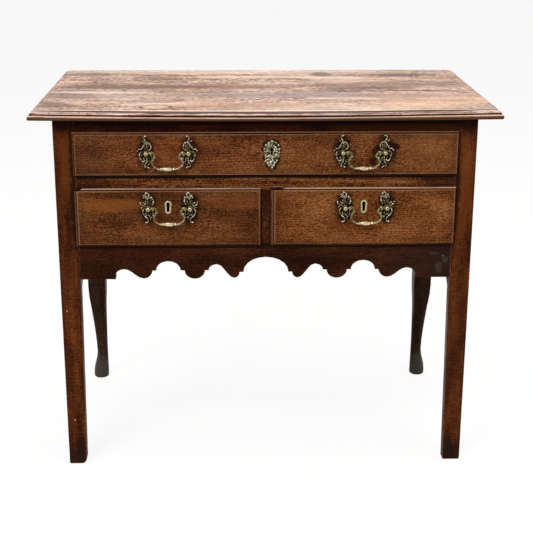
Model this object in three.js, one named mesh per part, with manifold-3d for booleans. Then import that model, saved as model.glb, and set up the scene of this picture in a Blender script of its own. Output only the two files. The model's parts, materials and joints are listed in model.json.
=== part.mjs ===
// An oak lowboy: a small side table with one long drawer over two short ones.
// Millimetres, +Z up. The origin is on the floor under the middle of the top, and the front faces -Y.
import * as THREE from "three";
import { mergeVertices } from "three/addons/utils/BufferGeometryUtils.js";
import Module from "manifold-3d";

const wasm = await Module();
wasm.setup();

// Whole object
const TOP_WIDTH = 870;
const TOP_DEPTH = 510;
const HEIGHT = 723.5;
const TOP_SIDE_OVERHANG = 40; // past the legs' outer faces
const TOP_FRONT_OVERHANG = 35; // past the front legs' faces
const TOP_BACK_OVERHANG = 21; // past the rear legs' backs
const FIT = 0.3; // gap between pieces that meet
const OVERRUN = 2; // how far a cut runs past the face that it opens

// Top: two boards, moulded along the front and both ends
const TOP_THICKNESS = 17;
const FRONT_BOARD_WIDTH = 222;
const EDGE_STEP = 1.6; // height of the small step round the flat
const EDGE_SHELF = 1.2;
const OVOLO_WIDTH = 7.2;
const OVOLO_DROP = 6.6;
const EDGE_FILLET = 1.2;
const NOSE_SHELF = 1.6;
const NOSE_BULGE = 2;

// Front legs: straight and square, chamfered on the inner back corner
const LEG_SIDE = 39;
const LEG_CHAMFER = 17;
const CHAMFER_RUNOUT = 24; // height of the chamfer's stop
const EASED_EDGE = 0.8;
const TAPER_HEIGHT = 350; // the inner face tapers below this height
const TAPER = 4.5;
const FOOT_BEVEL = 2;
const WORN_CORNER = 12; // the left foot's inner corner, worn away
const WORN_CORNER_SOUND = 3; // the same corner of the right foot

// Rear legs: square above, round below, with an ankle and a pad foot
const SQUARE_END_HEIGHT = 236;
const ANKLE_HEIGHT = 66;
const ANKLE_DIAMETER = 24.6;
const ANKLE_OFFSET = 4.3; // towards the middle of the table
const PAD_HEIGHT = 12;
const PAD_DIAMETER = 34.6;
const PAD_OFFSET = 1.3; // outwards
const SOLE_DIAMETER = 30;
const SOLE_ROUND = 3;
const REAR_RAKE = 20; // how far the foot stands behind the post

// Front frame
const RAIL_SETBACK = 1.2; // behind the legs' faces
const RAIL_THICKNESS = 22;
const TOP_RAIL_HEIGHT = 31;
const UPPER_OPENING_HEIGHT = 75.5;
const DIVIDER_HEIGHT = 31.5;
const LOWER_OPENING_HEIGHT = 105.5;
const MUNTIN_WIDTH = 26;
const APRON_HEIGHT = 71.5;
const APRON_THICKNESS = 20;

// Apron's lower edge, from the middle outwards: heights are above its lowest line
const CENTRE_ARCH_HALF = 43;
const CENTRE_ARCH_HEIGHT = 43;
const INNER_FILLET_HEIGHT = 13;
const FILLET_HEIGHT = 17;
const FILLET_WIDTH = 7.5;
const LOBE_LIFT = 1.2;
const INNER_LOBE_WIDTH = 11;
const INNER_WAVE_WIDTH = 32;
const SMALL_ARCH_HEIGHT = 28.8;
const SMALL_ARCH_FALL = 16;
const MIDDLE_LOBE_WIDTH = 39.5;
const TALL_ARCH_WIDTH = 46.5;
const TALL_ARCH_HEIGHT = 35.5;
const OUTER_LOBE_WIDTH = 17;
const OUTER_WAVE_WIDTH = 36.5;
const END_ARCH_HEIGHT = 20;
const END_ARCH_WIDTH = 17;
const END_STEP_HEIGHT = 8.5;
const APRON_END_FLAT = 67.2; // from the pattern's end to the leg

// Panels and joinery
const SIDE_THICKNESS = 19;
const BACK_THICKNESS = 14;
const BACK_RECESS = 4;
const TENON_LENGTH = 20;
const TENON_THICKNESS = 8;
const TENON_SHOULDER = 6; // at a rail tenon's top and bottom
const PANEL_TENON_HEIGHT = 70;
const BACK_TENON_THICKNESS = 6;
const MUNTIN_TENON_LENGTH = 12;
const MUNTIN_TENON_WIDTH = 14;

// Bearers: runners with guides, and the kickers over the long drawer
const BEARER_REACH = 16; // inside the legs' inner faces
const LOWER_BEARER_THICKNESS = 20;
const CENTRE_BEARER_REACH = 17; // each side of the muntin
const GUIDE_HEIGHT = 25;
const KICKER_THICKNESS = 20;

// Drawers
const FRONT_PROUD = 8; // the drawer fronts' fields stand this far before the legs
const FRONT_THICKNESS = 22;
const LIP_OVERLAP = 3.6;
const LIP_GAP = 0.4; // behind the closed lip
const LIP_EDGE = 2.2; // thickness of the lip's square edge
const THUMB_STEP = 0.9;
const THUMB_SHELF = 0.7;
const THUMB_WIDTH = 4;
const DRAWER_SIDE_CLEARANCE = 0.8;
const DRAWER_TOP_CLEARANCE = 1.5;
const DRAWER_REAR_CLEARANCE = 16;
const DRAWER_SIDE_THICKNESS = 9;
const DRAWER_BACK_THICKNESS = 9;
const DRAWER_BACK_DROP = 6;
const BOTTOM_THICKNESS = 6;
const BOTTOM_RISE = 7;
const GROOVE_DEPTH = 3.5;
const TAIL_LENGTH = 10;
const TAIL_PITCH = 26;
const TAIL_HALF = 7;
const TAIL_FLARE = 2;

// Locks and keyholes
const LOCK_WIDTH = 56;
const LOCK_HEIGHT = 46;
const LOCK_THICKNESS = 10;
const LOCK_LET_IN = 8;
const LOCK_WALL = 2.6;
const BOLT_WIDTH = 20;
const BOLT_THICKNESS = 4.4;
const BOLT_HEIGHT = 20;
const BOLT_THROW = 8;
const KEY_WELL_HALF = 5;
const UPPER_KEYHOLE_X = 10;
const UPPER_KEYHOLE_DEPTH = 29; // the round part's centre, below the opening's top
const UPPER_KEYHOLE_RADIUS = 3.2;
const UPPER_KEYHOLE_SLOT = 2.8;
const UPPER_KEYHOLE_DROP = 9;
const LOWER_KEYHOLE_DEPTH = 26;
const LOWER_KEYHOLE_RADIUS = 3.6;
const LOWER_KEYHOLE_SLOT = 5.2;
const LOWER_KEYHOLE_DROP = 15.5;
const THREAD_RIM = 3; // the inset brass surround's width
const THREAD_DEPTH = 2.4;
const THREAD_PROUD = 0.5;

// Pierced escutcheon of the long drawer
const ESCUTCHEON_WIDTH = 31;
const ESCUTCHEON_HEIGHT = 53;
const ESCUTCHEON_THICKNESS = 1.8;
const ESCUTCHEON_DROP = 8; // its middle, below the keyhole's round part
const ESCUTCHEON_RIM = 3;

// Swan-neck handles
const UPPER_LEFT_HANDLE_OFFSET = 1; // to the right of the short drawer's middle
const UPPER_RIGHT_HANDLE_OFFSET = -3;
const LOWER_LEFT_HANDLE_OFFSET = 2;
const LOWER_RIGHT_HANDLE_OFFSET = 3.5;
const UPPER_HANDLE_DEPTH = 33.5; // the posts, below the opening's top
const LOWER_HANDLE_DEPTH = 32.5;
const POST_SPACING = 78.5;
const POST_PROUD = 13; // the bail's axis, before the drawer's field
const POST_BALL_RADIUS = 4.6;
const POST_NECK_RADIUS = 2.7;
const POST_COLLAR_RADIUS = 4.4;
const POST_COLLAR_HEIGHT = 1.6;
const SHANK_RADIUS = 2.4;
const NUT_RADIUS = 5.5;
const NUT_THICKNESS = 3;
const SHANK_END = 2;
const PLATE_WIDTH = 32;
const PLATE_HEIGHT = 63;
const PLATE_THICKNESS = 2.4;
const PLATE_BOSS_RADIUS = 6;
const SCROLL_WIDTH = 3.6;
const SCROLL_TIP_WIDTH = 2.2;
const PINTLE_RADIUS = 1.3;
const PINTLE_END = 1; // from the post's centre
const BAIL_DROP = 30;
const BAIL_NECK_RADIUS = 1.9;
const BAIL_LEAF_RADIUS = 3;
const BAIL_BEAD_RADIUS = 3.5;
const BAIL_GRIP_RADIUS = 3.9;
const BAIL_GRIP_END_RADIUS = 3.5; // halfway between the grip's middle and its bead
const BEAD_DISTANCE = 12.5; // from the grip's middle
const BEAD_HALF = 1.6;

// Steps round curves
const ROUND_STEPS = 5;
const APRON_ARC_STEPS = 5;
const LEG_RING_POINTS = 16;
const SHANK_RINGS = 7;
const FOOT_RINGS = 4;
const BAIL_SIDES = 6;
const POST_SIDES = 8;
const BALL_STEPS = 3;
const HOLE_STEPS = 4;
const SCROLL_STEPS = 1.2; // between two points of a scroll

// Scrolls of the handle plates: from the post's centre, outwards and up, as shares of the plate's
// width and height. Each is a strand of the casting.
const upperScrollShares = [
  [[0.02, 0.27], [0.09, 0.34], [0.11, 0.41], [0.05, 0.46], [-0.04, 0.475]],
  [[0.02, 0.27], [0.15, 0.3], [0.27, 0.35]],
  [[0.02, 0.28], [0.14, 0.22], [0.19, 0.13], [0.3, 0.07], [0.4, 0.085], [0.52, 0.02]],
  [[0.02, 0.28], [-0.15, 0.25], [-0.26, 0.17], [-0.3, 0.06], [-0.36, -0.02], [-0.45, -0.09]],
  [[0, 0.04], [-0.05, 0.16], [0.02, 0.27]],
  [[0.1, 0], [0.33, -0.02], [0.41, -0.1], [0.36, -0.2], [0.23, -0.27], [0.08, -0.28]],
  [[-0.1, -0.02], [-0.3, -0.1], [-0.34, -0.2], [-0.22, -0.29], [-0.04, -0.33]],
  [[0, -0.04], [0.05, -0.2], [0.07, -0.34], [0.09, -0.4], [0, -0.45], [-0.14, -0.495]],
];
const lowerScrollShares = [
  [[0, 0.04], [-0.05, 0.14], [-0.02, 0.24], [-0.07, 0.35], [0.01, 0.41], [0.1, 0.465]],
  [[0, 0.22], [0.12, 0.28], [0.26, 0.35]],
  [[0.2, 0.24], [0.02, 0.21], [-0.2, 0.24]],
  [[-0.12, 0.27], [-0.28, 0.17], [-0.31, 0.07], [-0.14, -0.01]],
  [[0.1, 0.01], [0.25, 0.03], [0.4, 0.09], [0.49, 0.17]],
  [
    [0.1, -0.02], [0.33, -0.13], [0.24, -0.24], [0.12, -0.32],
    [-0.03, -0.38], [-0.02, -0.45], [0.13, -0.505],
  ],
  [[-0.12, -0.03], [-0.29, -0.14], [-0.25, -0.24], [-0.1, -0.3], [0.06, -0.35]],
  [[0, -0.04], [0.02, -0.2], [0.02, -0.35]],
];

// The bail's path from a post: shares of the handle's half spacing inwards and of its drop, and
// which of the bail's thicknesses it has there.
const bailPathShares = [
  [0.115, 0, PINTLE_RADIUS],
  [0.16, 0.015, BAIL_NECK_RADIUS],
  [0.22, 0.085, BAIL_NECK_RADIUS],
  [0.325, 0.02, BAIL_NECK_RADIUS],
  [0.375, -0.16, BAIL_NECK_RADIUS],
  [0.31, -0.36, BAIL_LEAF_RADIUS],
  [0.225, -0.6, BAIL_NECK_RADIUS],
  [0.265, -0.8, BAIL_NECK_RADIUS],
  [0.4, -0.95, BAIL_NECK_RADIUS],
];

// Piercings of the escutcheon, as shares of its half width and half height
const piercingShares = [
  [-0.52, 0.5], [-0.22, 0.72], [0.22, 0.72], [0.52, 0.5],
  [-0.62, 0.12], [0.62, 0.12], [-0.34, -0.38], [0.34, -0.38], [0, -0.62],
];
const PIERCING_RADIUS = 1.5;
const eggShare = 0.2; // how much wider the escutcheon is above than below
const scallopShare = 0.05;
const ESCUTCHEON_LOBES = 11;

// Places worked out from the sizes, measured from the front legs' faces
const caseDepth = TOP_DEPTH - TOP_FRONT_OVERHANG - TOP_BACK_OVERHANG;
const legOuter = TOP_WIDTH / 2 - TOP_SIDE_OVERHANG;
const legInner = legOuter - LEG_SIDE;
const caseTop = HEIGHT - TOP_THICKNESS;
const upperOpeningTop = caseTop - TOP_RAIL_HEIGHT;
const upperOpeningBottom = upperOpeningTop - UPPER_OPENING_HEIGHT;
const lowerOpeningTop = upperOpeningBottom - DIVIDER_HEIGHT;
const lowerOpeningBottom = lowerOpeningTop - LOWER_OPENING_HEIGHT;
const caseBottom = lowerOpeningBottom - APRON_HEIGHT;
const shortDrawerX = (legInner + MUNTIN_WIDTH / 2) / 2; // a short drawer's middle
const upperHandleZ = upperOpeningTop - UPPER_HANDLE_DEPTH;
const lowerHandleZ = lowerOpeningTop - LOWER_HANDLE_DEPTH;
const upperKeyholeZ = upperOpeningTop - UPPER_KEYHOLE_DEPTH;
const railBack = RAIL_SETBACK + RAIL_THICKNESS;
const apronBack = RAIL_SETBACK + APRON_THICKNESS;
const rearPostFront = caseDepth - LEG_SIDE;
const sidePanel = [legOuter - RAIL_SETBACK - SIDE_THICKNESS, legOuter - RAIL_SETBACK];
const backPanel = [caseDepth - BACK_RECESS - BACK_THICKNESS, caseDepth - BACK_RECESS];
const field = -FRONT_PROUD;
const frontBack = FRONT_THICKNESS - FRONT_PROUD;
const drawerRear = backPanel[0] - DRAWER_REAR_CLEARANCE;

// Materials
function finish(colour, roughness, metalness = 0) {
  return new THREE.MeshStandardMaterial({ color: colour, roughness, metalness });
}
const topOak = finish("#8a6450", 0.55);
const legOak = finish("#4c2818", 0.5);
const railOak = finish("#3e2318", 0.5);
const drawerOak = finish("#6b4226", 0.5);
const sideOak = finish("#5a3826", 0.6);
const linerOak = finish("#a88860", 0.8);
const agedBrass = finish("#9c8a5c", 0.4, 1);
const lockIron = finish("#4a4743", 0.6, 1);

// Solids: closed geometries facing out, cut and joined with manifold-3d
function facingOut(geometry) {
  const bare = geometry.index ? geometry.toNonIndexed() : geometry.clone();
  for (const name of Object.keys(bare.attributes))
    if (name !== "position") bare.deleteAttribute(name);
  const p = bare.attributes.position;
  const corner = [new THREE.Vector3(), new THREE.Vector3(), new THREE.Vector3()];
  let volume = 0;
  for (let i = 0; i < p.count; i += 3) {
    corner.forEach((c, k) => c.fromBufferAttribute(p, i + k));
    volume += corner[0].dot(corner[1].cross(corner[2]));
  }
  if (volume < 0)
    for (let i = 0; i < p.count; i += 3) {
      const [x, y, z] = [p.getX(i), p.getY(i), p.getZ(i)];
      p.setXYZ(i, p.getX(i + 1), p.getY(i + 1), p.getZ(i + 1));
      p.setXYZ(i + 1, x, y, z);
    }
  return mergeVertices(bare);
}

function solid(geometry) {
  const closed = facingOut(geometry);
  const vertProperties = new Float32Array(closed.attributes.position.array);
  const triVerts = new Uint32Array(closed.index.array);
  return new wasm.Manifold(new wasm.Mesh({ numProp: 3, vertProperties, triVerts }));
}

function geometryOf(body) {
  const mesh = body.getMesh();
  const geometry = new THREE.BufferGeometry();
  geometry.setAttribute("position", new THREE.BufferAttribute(mesh.vertProperties, 3));
  geometry.setIndex(new THREE.BufferAttribute(mesh.triVerts, 1));
  return geometry;
}

function join(...geometries) {
  return geometryOf(geometries.map(solid).reduce((all, next) => all.add(next)));
}

function cut(geometry, ...tools) {
  return geometryOf(tools.reduce((left, tool) => left.subtract(solid(tool)), solid(geometry)));
}

// A block between two places on each axis, given in either order.
function block(x, y, z) {
  const size = [x, y, z].map(([a, b]) => Math.abs(b - a));
  const middle = [x, y, z].map(([a, b]) => (a + b) / 2);
  return new THREE.BoxGeometry(...size).translate(...middle);
}

// An outline drawn in the other two axes, in their order, and pushed along the named axis.
const X = new THREE.Vector3(1, 0, 0);
const Y = new THREE.Vector3(0, 1, 0);
const Z = new THREE.Vector3(0, 0, 1);
const turnTo = {
  x: new THREE.Matrix4().makeBasis(Y, Z, X),
  y: new THREE.Matrix4().makeBasis(X, Z, Y.clone().negate()),
  z: new THREE.Matrix4(),
};
function prism(outline, axis, from, to) {
  const shape = outline instanceof THREE.Shape ? outline : new THREE.Shape(outline);
  const pushed = new THREE.ExtrudeGeometry(shape, {
    depth: to - from,
    bevelEnabled: false,
    curveSegments: HOLE_STEPS,
  }).applyMatrix4(turnTo[axis]);
  const place = { x: [from, 0, 0], y: [0, to, 0], z: [0, 0, from] }[axis];
  return pushed.translate(...place);
}

function rod(axis, radius, from, to, centre) {
  const circle = new THREE.Shape();
  circle.absarc(centre[0], centre[1], radius, 0, 2 * Math.PI);
  return prism(circle, axis, from, to);
}

// A closed surface through rings of equally many points, capped flat at both ends.
function loft(rings) {
  const sides = rings[0].length;
  const last = (rings.length - 1) * sides;
  const index = [];
  for (let r = 0; r < last; r += sides)
    for (let s = 0; s < sides; s++) {
      const [a, b] = [r + s, r + ((s + 1) % sides)];
      index.push(a, b, b + sides, a, b + sides, a + sides);
    }
  for (let s = 1; s + 1 < sides; s++) index.push(0, s + 1, s, last, last + s, last + s + 1);
  const geometry = new THREE.BufferGeometry().setFromPoints(rings.flat());
  return geometry.setIndex(index);
}

// A body of revolution round a line along Y, from a profile of [radius, y] that ends on the line.
function revolve(profile, sides) {
  return new THREE.LatheGeometry(profile.map(([r, y]) => new THREE.Vector2(r, y)), sides);
}

// A quarter of an ellipse between two points, level at its start or at its end.
function quarter(from, to, levelAt, steps = ROUND_STEPS) {
  return Array.from({ length: steps }, (_, k) => {
    const turn = ((k + 1) / steps) * (Math.PI / 2);
    const [slow, fast] = [1 - Math.cos(turn), Math.sin(turn)];
    const [across, up] = levelAt === "start" ? [fast, slow] : [slow, fast];
    return [from[0] + (to[0] - from[0]) * across, from[1] + (to[1] - from[1]) * up];
  });
}

// A wave between two points, level at both.
function wave(from, to, steps = APRON_ARC_STEPS) {
  return Array.from({ length: steps }, (_, k) => {
    const share = (k + 1) / steps;
    const rise = (1 - Math.cos(Math.PI * share)) / 2;
    return [from[0] + (to[0] - from[0]) * share, from[1] + (to[1] - from[1]) * rise];
  });
}

const grow = ([a, b], by) => [a - by, b + by];
const smooth = (share) => share * share * (3 - 2 * share);
const mix = (a, b, share) => a + (b - a) * share;

// The assembly: named meshes in groups that share the case's frame
const lowboy = new THREE.Group();
const caseGroup = new THREE.Group();
caseGroup.position.y = TOP_FRONT_OVERHANG - TOP_DEPTH / 2;
lowboy.add(caseGroup);

function add(name, geometry, material, group = caseGroup, mirrored = false) {
  const shown = facingOut(geometry);
  shown.computeVertexNormals();
  const mesh = new THREE.Mesh(shown, material);
  mesh.name = name;
  if (mirrored) mesh.scale.x = -1;
  group.add(mesh);
}

function addPair(name, geometry, material, group = caseGroup) {
  add(name + "_right", geometry, material, group);
  add(name + "_left", geometry, material, group, true);
}

// Top: every level of the moulded slab is a rectangle, flush at the back
function topEdge() {
  const stepInset = NOSE_BULGE + NOSE_SHELF + OVOLO_WIDTH + EDGE_SHELF;
  const noseTop = EDGE_STEP + OVOLO_DROP + EDGE_FILLET;
  const ovoloTop = [stepInset - EDGE_SHELF, EDGE_STEP];
  const ovoloFoot = [NOSE_BULGE + NOSE_SHELF, EDGE_STEP + OVOLO_DROP];
  const noseMiddle = (noseTop + TOP_THICKNESS) / 2;
  return [
    [stepInset, 0],
    [stepInset, EDGE_STEP],
    ovoloTop,
    ...quarter(ovoloTop, ovoloFoot, "start"),
    [ovoloFoot[0], noseTop],
    [NOSE_BULGE, noseTop],
    ...quarter([NOSE_BULGE, noseTop], [0, noseMiddle], "start"),
    ...quarter([0, noseMiddle], [NOSE_BULGE, TOP_THICKNESS], "end"),
  ];
}

function makeTop() {
  const front = -TOP_FRONT_OVERHANG;
  const back = front + TOP_DEPTH;
  const seam = front + FRONT_BOARD_WIDTH;
  const rings = topEdge().map(([inset, depth]) => {
    const half = TOP_WIDTH / 2 - inset;
    const corners = [[-half, front + inset], [half, front + inset], [half, back], [-half, back]];
    return corners.map(([x, y]) => new THREE.Vector3(x, y, HEIGHT - depth));
  });
  const slab = loft(rings);
  const wide = grow([-TOP_WIDTH / 2, TOP_WIDTH / 2], OVERRUN);
  const high = grow([caseTop, HEIGHT], OVERRUN);
  const rearHalf = block(wide, [seam - FIT / 2, back + OVERRUN], high);
  const frontHalf = block(wide, [front - OVERRUN, seam + FIT / 2], high);
  add("top_board_front", cut(slab, rearHalf), topOak);
  add("top_board_rear", cut(slab, frontHalf), topOak);
}

// Joinery: tenons are blocks, and a mortise is its tenon grown by the fit
const railTenonY = [
  RAIL_SETBACK + (RAIL_THICKNESS - TENON_THICKNESS) / 2,
  RAIL_SETBACK + (RAIL_THICKNESS + TENON_THICKNESS) / 2,
];
const railHeights = {
  top: [upperOpeningTop, caseTop - FIT],
  divider: [lowerOpeningTop, upperOpeningBottom],
  apron: [caseBottom, lowerOpeningBottom],
};
const tenonHeights = Object.values(railHeights).map((span) => grow(span, -TENON_SHOULDER));
const sideTenonX = [
  (sidePanel[0] + sidePanel[1] - TENON_THICKNESS) / 2,
  (sidePanel[0] + sidePanel[1] + TENON_THICKNESS) / 2,
];
const backTenonY = [
  (backPanel[0] + backPanel[1] - BACK_TENON_THICKNESS) / 2,
  (backPanel[0] + backPanel[1] + BACK_TENON_THICKNESS) / 2,
];
const PANEL_TENONS = 3;
const panelTenonHeights = Array.from({ length: PANEL_TENONS }, (_, k) => {
  const pitch = (caseTop - caseBottom) / PANEL_TENONS;
  const middle = caseBottom + (k + 1 / 2) * pitch;
  return grow([middle, middle], PANEL_TENON_HEIGHT / 2);
});

const panelMortises = (x, y) =>
  panelTenonHeights.map((z) => block(grow(x, FIT), grow(y, FIT), grow(z, FIT)));
const railMortises = () =>
  tenonHeights.map((z) =>
    block([legInner - OVERRUN, legInner + TENON_LENGTH], grow(railTenonY, FIT), grow(z, FIT)),
  );

// A front leg on the right: the section has an outer front, an inner front, two chamfer and one
// outer back corner, all drawn in by a bevel at the sole.
function frontLegRing(height, chamfer, bevel) {
  const taper = TAPER * Math.max(0, 1 - height / TAPER_HEIGHT);
  const inner = legInner + taper + bevel;
  const outer = legOuter - bevel;
  const [front, back] = [bevel, LEG_SIDE - bevel];
  return [
    [outer, front], [inner, front], [inner, back - chamfer], [inner + chamfer, back], [outer, back],
  ].map(([x, y]) => new THREE.Vector3(x, y, height));
}

function frontLeg(worn) {
  const chamferTop = caseBottom - CHAMFER_RUNOUT;
  const blank = loft([
    frontLegRing(0, LEG_CHAMFER, FOOT_BEVEL),
    frontLegRing(FOOT_BEVEL, LEG_CHAMFER, 0),
    frontLegRing(TAPER_HEIGHT, LEG_CHAMFER, 0),
    frontLegRing(chamferTop, LEG_CHAMFER, 0),
    frontLegRing(chamferTop + CHAMFER_RUNOUT / 2, EASED_EDGE, 0),
    frontLegRing(caseTop - FIT, EASED_EDGE, 0),
  ]);
  const soleInner = legInner + TAPER;
  const wornEdge = [
    [soleInner - OVERRUN, -OVERRUN],
    [soleInner - OVERRUN, worn],
    [soleInner, worn],
    ...quarter([soleInner, worn], [soleInner + worn, 0], "end"),
    [soleInner + worn, -OVERRUN],
  ];
  const wornCorner = prism(points(wornEdge), "y", -OVERRUN, LEG_SIDE + OVERRUN);
  const panelEnd = [LEG_SIDE - TENON_LENGTH, LEG_SIDE + OVERRUN];
  return cut(blank, wornCorner, ...railMortises(), ...panelMortises(sideTenonX, panelEnd));
}

function points(pairs) {
  return pairs.map(([a, b]) => new THREE.Vector2(a, b));
}

// A rear leg on the right. Each ring runs from a square to a circle, and its centre from the
// post's to the ankle's, and on to the pad's.
function rearLegRing(height) {
  const centre = legInner + LEG_SIDE / 2;
  const foot = Math.min(1, Math.max(0, (ANKLE_HEIGHT - height) / (ANKLE_HEIGHT - PAD_HEIGHT)));
  const shank = (SQUARE_END_HEIGHT - height) / (SQUARE_END_HEIGHT - ANKLE_HEIGHT);
  const taper = smooth(Math.min(1, Math.max(0, shank)));
  const fall = smooth(Math.min(1, Math.max(0, 1 - height / SQUARE_END_HEIGHT)));
  const pad = height < SOLE_ROUND ? mix(SOLE_DIAMETER, PAD_DIAMETER, height / SOLE_ROUND) : PAD_DIAMETER;
  const diameter = mix(mix(LEG_SIDE, ANKLE_DIAMETER, taper), pad, smooth(foot));
  const offset = mix(-ANKLE_OFFSET * taper, PAD_OFFSET, smooth(foot));
  const middle = caseDepth - LEG_SIDE / 2 + REAR_RAKE * fall;
  return Array.from({ length: LEG_RING_POINTS }, (_, k) => {
    const turn = (2 * Math.PI * k) / LEG_RING_POINTS;
    const [c, s] = [Math.cos(turn), Math.sin(turn)];
    const square = 1 / Math.max(Math.abs(c), Math.abs(s));
    const reach = (diameter / 2) * mix(square, 1, Math.min(1, 2 * taper));
    return new THREE.Vector3(centre + offset + reach * c, middle + offset + reach * s, height);
  });
}

function rearLeg() {
  const heights = [0, SOLE_ROUND / 2, SOLE_ROUND, PAD_HEIGHT];
  for (let k = 1; k < FOOT_RINGS; k++) heights.push(mix(PAD_HEIGHT, ANKLE_HEIGHT, k / FOOT_RINGS));
  for (let k = 0; k <= SHANK_RINGS; k++)
    heights.push(mix(ANKLE_HEIGHT, SQUARE_END_HEIGHT, k / SHANK_RINGS));
  heights.push(caseTop - FIT);
  const blank = loft(heights.map(rearLegRing));
  const sideEnd = [rearPostFront - OVERRUN, rearPostFront + TENON_LENGTH];
  const backEnd = [legInner - OVERRUN, legInner + TENON_LENGTH];
  return cut(
    blank,
    ...panelMortises(sideTenonX, sideEnd),
    ...panelMortises(backEnd, backTenonY),
  );
}

function makeLegs() {
  add("front_leg_right", frontLeg(WORN_CORNER_SOUND), legOak);
  add("front_leg_left", frontLeg(WORN_CORNER), legOak, caseGroup, true);
  addPair("rear_leg", rearLeg(), legOak);
}

// Front frame
const betweenLegs = [-legInner + FIT, legInner - FIT];
const tenonReach = grow(betweenLegs, TENON_LENGTH - FIT);
const muntinTenonX = [-MUNTIN_TENON_WIDTH / 2, MUNTIN_TENON_WIDTH / 2];

function muntinMortise(from, to) {
  return block(grow(muntinTenonX, FIT), grow(railTenonY, FIT), [from, to]);
}

// The bolt's place behind a drawer front's field, and the mortise that it enters in the rail above.
const lockFront = frontBack - LOCK_LET_IN;
const boltY = [
  lockFront + FIT + LOCK_WALL,
  lockFront + FIT + LOCK_WALL + BOLT_THICKNESS,
];
function boltMortise(keyholeX, openingTop) {
  const half = BOLT_WIDTH / 2 + 2 * FIT;
  const across = [keyholeX - half, keyholeX + half];
  return block(across, grow(boltY, 2 * FIT), [openingTop - OVERRUN, openingTop + BOLT_THROW]);
}

function makeRails() {
  const railY = [RAIL_SETBACK, railBack];
  const [topTenon, dividerTenon] = tenonHeights;
  const topRail = join(
    block(betweenLegs, railY, railHeights.top),
    block(tenonReach, railTenonY, topTenon),
  );
  add("top_rail", cut(topRail, boltMortise(UPPER_KEYHOLE_X, upperOpeningTop)), railOak);
  const divider = join(
    block(betweenLegs, railY, railHeights.divider),
    block(tenonReach, railTenonY, dividerTenon),
  );
  const muntinHead = muntinMortise(lowerOpeningTop - OVERRUN, lowerOpeningTop + MUNTIN_TENON_LENGTH);
  const bolts = [-1, 1].map((side) => boltMortise(side * shortDrawerX, lowerOpeningTop));
  add("divider_rail", cut(divider, muntinHead, ...bolts), railOak);
  const muntin = join(
    block([-MUNTIN_WIDTH / 2, MUNTIN_WIDTH / 2], railY, [
      lowerOpeningBottom + FIT,
      lowerOpeningTop - FIT,
    ]),
    block(muntinTenonX, railTenonY, [
      lowerOpeningBottom - MUNTIN_TENON_LENGTH + FIT,
      lowerOpeningTop + MUNTIN_TENON_LENGTH - FIT,
    ]),
  );
  add("muntin", muntin, railOak);
}

// Right half of the apron's lower edge, from the middle out to the leg. Its arches and lobes are
// drawn at their named widths, and then stretched alike to reach the flat beside the leg.
function apronEdge() {
  const path = [[0, CENTRE_ARCH_HEIGHT]];
  const end = () => path[path.length - 1];
  const level = (width) => path.push([end()[0] + width, end()[1]]);
  const fillet = (height) => {
    path.push([end()[0], height]);
    level(FILLET_WIDTH);
  };
  const arc = (width, height, levelAt) =>
    path.push(...quarter(end(), [end()[0] + width, height], levelAt, APRON_ARC_STEPS));
  arc(CENTRE_ARCH_HALF, INNER_FILLET_HEIGHT + LOBE_LIFT, "start");
  fillet(INNER_FILLET_HEIGHT);
  arc(INNER_LOBE_WIDTH, LOBE_LIFT, "end");
  path.push(...wave(end(), [end()[0] + INNER_WAVE_WIDTH, SMALL_ARCH_HEIGHT]));
  arc(SMALL_ARCH_FALL, FILLET_HEIGHT + LOBE_LIFT, "start");
  fillet(FILLET_HEIGHT);
  arc(MIDDLE_LOBE_WIDTH / 2, 0, "end");
  arc(MIDDLE_LOBE_WIDTH / 2, FILLET_HEIGHT, "start");
  fillet(FILLET_HEIGHT);
  arc(TALL_ARCH_WIDTH / 2, TALL_ARCH_HEIGHT, "end");
  arc(TALL_ARCH_WIDTH / 2, FILLET_HEIGHT + LOBE_LIFT, "start");
  fillet(FILLET_HEIGHT);
  arc(OUTER_LOBE_WIDTH, LOBE_LIFT, "end");
  path.push(...wave(end(), [end()[0] + OUTER_WAVE_WIDTH, END_ARCH_HEIGHT]));
  arc(END_ARCH_WIDTH, END_STEP_HEIGHT, "start");
  path.push([end()[0], 0]);
  const stretch = (betweenLegs[1] - APRON_END_FLAT) / end()[0];
  const stretched = path.map(([x, height]) => [x * stretch, caseBottom + height]);
  return [...stretched, [betweenLegs[1], caseBottom]];
}

function makeApron() {
  const right = apronEdge();
  const left = right.slice(1).reverse().map(([x, z]) => [-x, z]);
  const ends = [[betweenLegs[1], lowerOpeningBottom], [betweenLegs[0], lowerOpeningBottom]];
  const board = prism(points([...left, ...right, ...ends]), "y", RAIL_SETBACK, apronBack);
  const [, , tenonHeight] = tenonHeights;
  const tenons = [-1, 1].map((side) => {
    const inside = side * (legInner - TENON_LENGTH);
    return block([inside, side * tenonReach[1]], railTenonY, tenonHeight);
  });
  const foot = lowerOpeningBottom - MUNTIN_TENON_LENGTH;
  const muntinFoot = muntinMortise(foot, lowerOpeningBottom + OVERRUN);
  add("apron", cut(join(board, ...tenons), muntinFoot), railOak);
}

// Side and back panels, tenoned into the legs
function makePanels() {
  const height = [caseBottom, caseTop - FIT];
  const sideY = [LEG_SIDE + FIT, rearPostFront - FIT];
  const sideTenonY = grow(sideY, TENON_LENGTH - FIT * 2);
  const sideTenons = panelTenonHeights.map((z) => block(sideTenonX, sideTenonY, z));
  addPair("side_panel", join(block(sidePanel, sideY, height), ...sideTenons), sideOak);
  const backTenons = panelTenonHeights.map((z) => block(tenonReach, backTenonY, z));
  add("back_panel", join(block(betweenLegs, backPanel, height), ...backTenons), sideOak);
}

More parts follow.
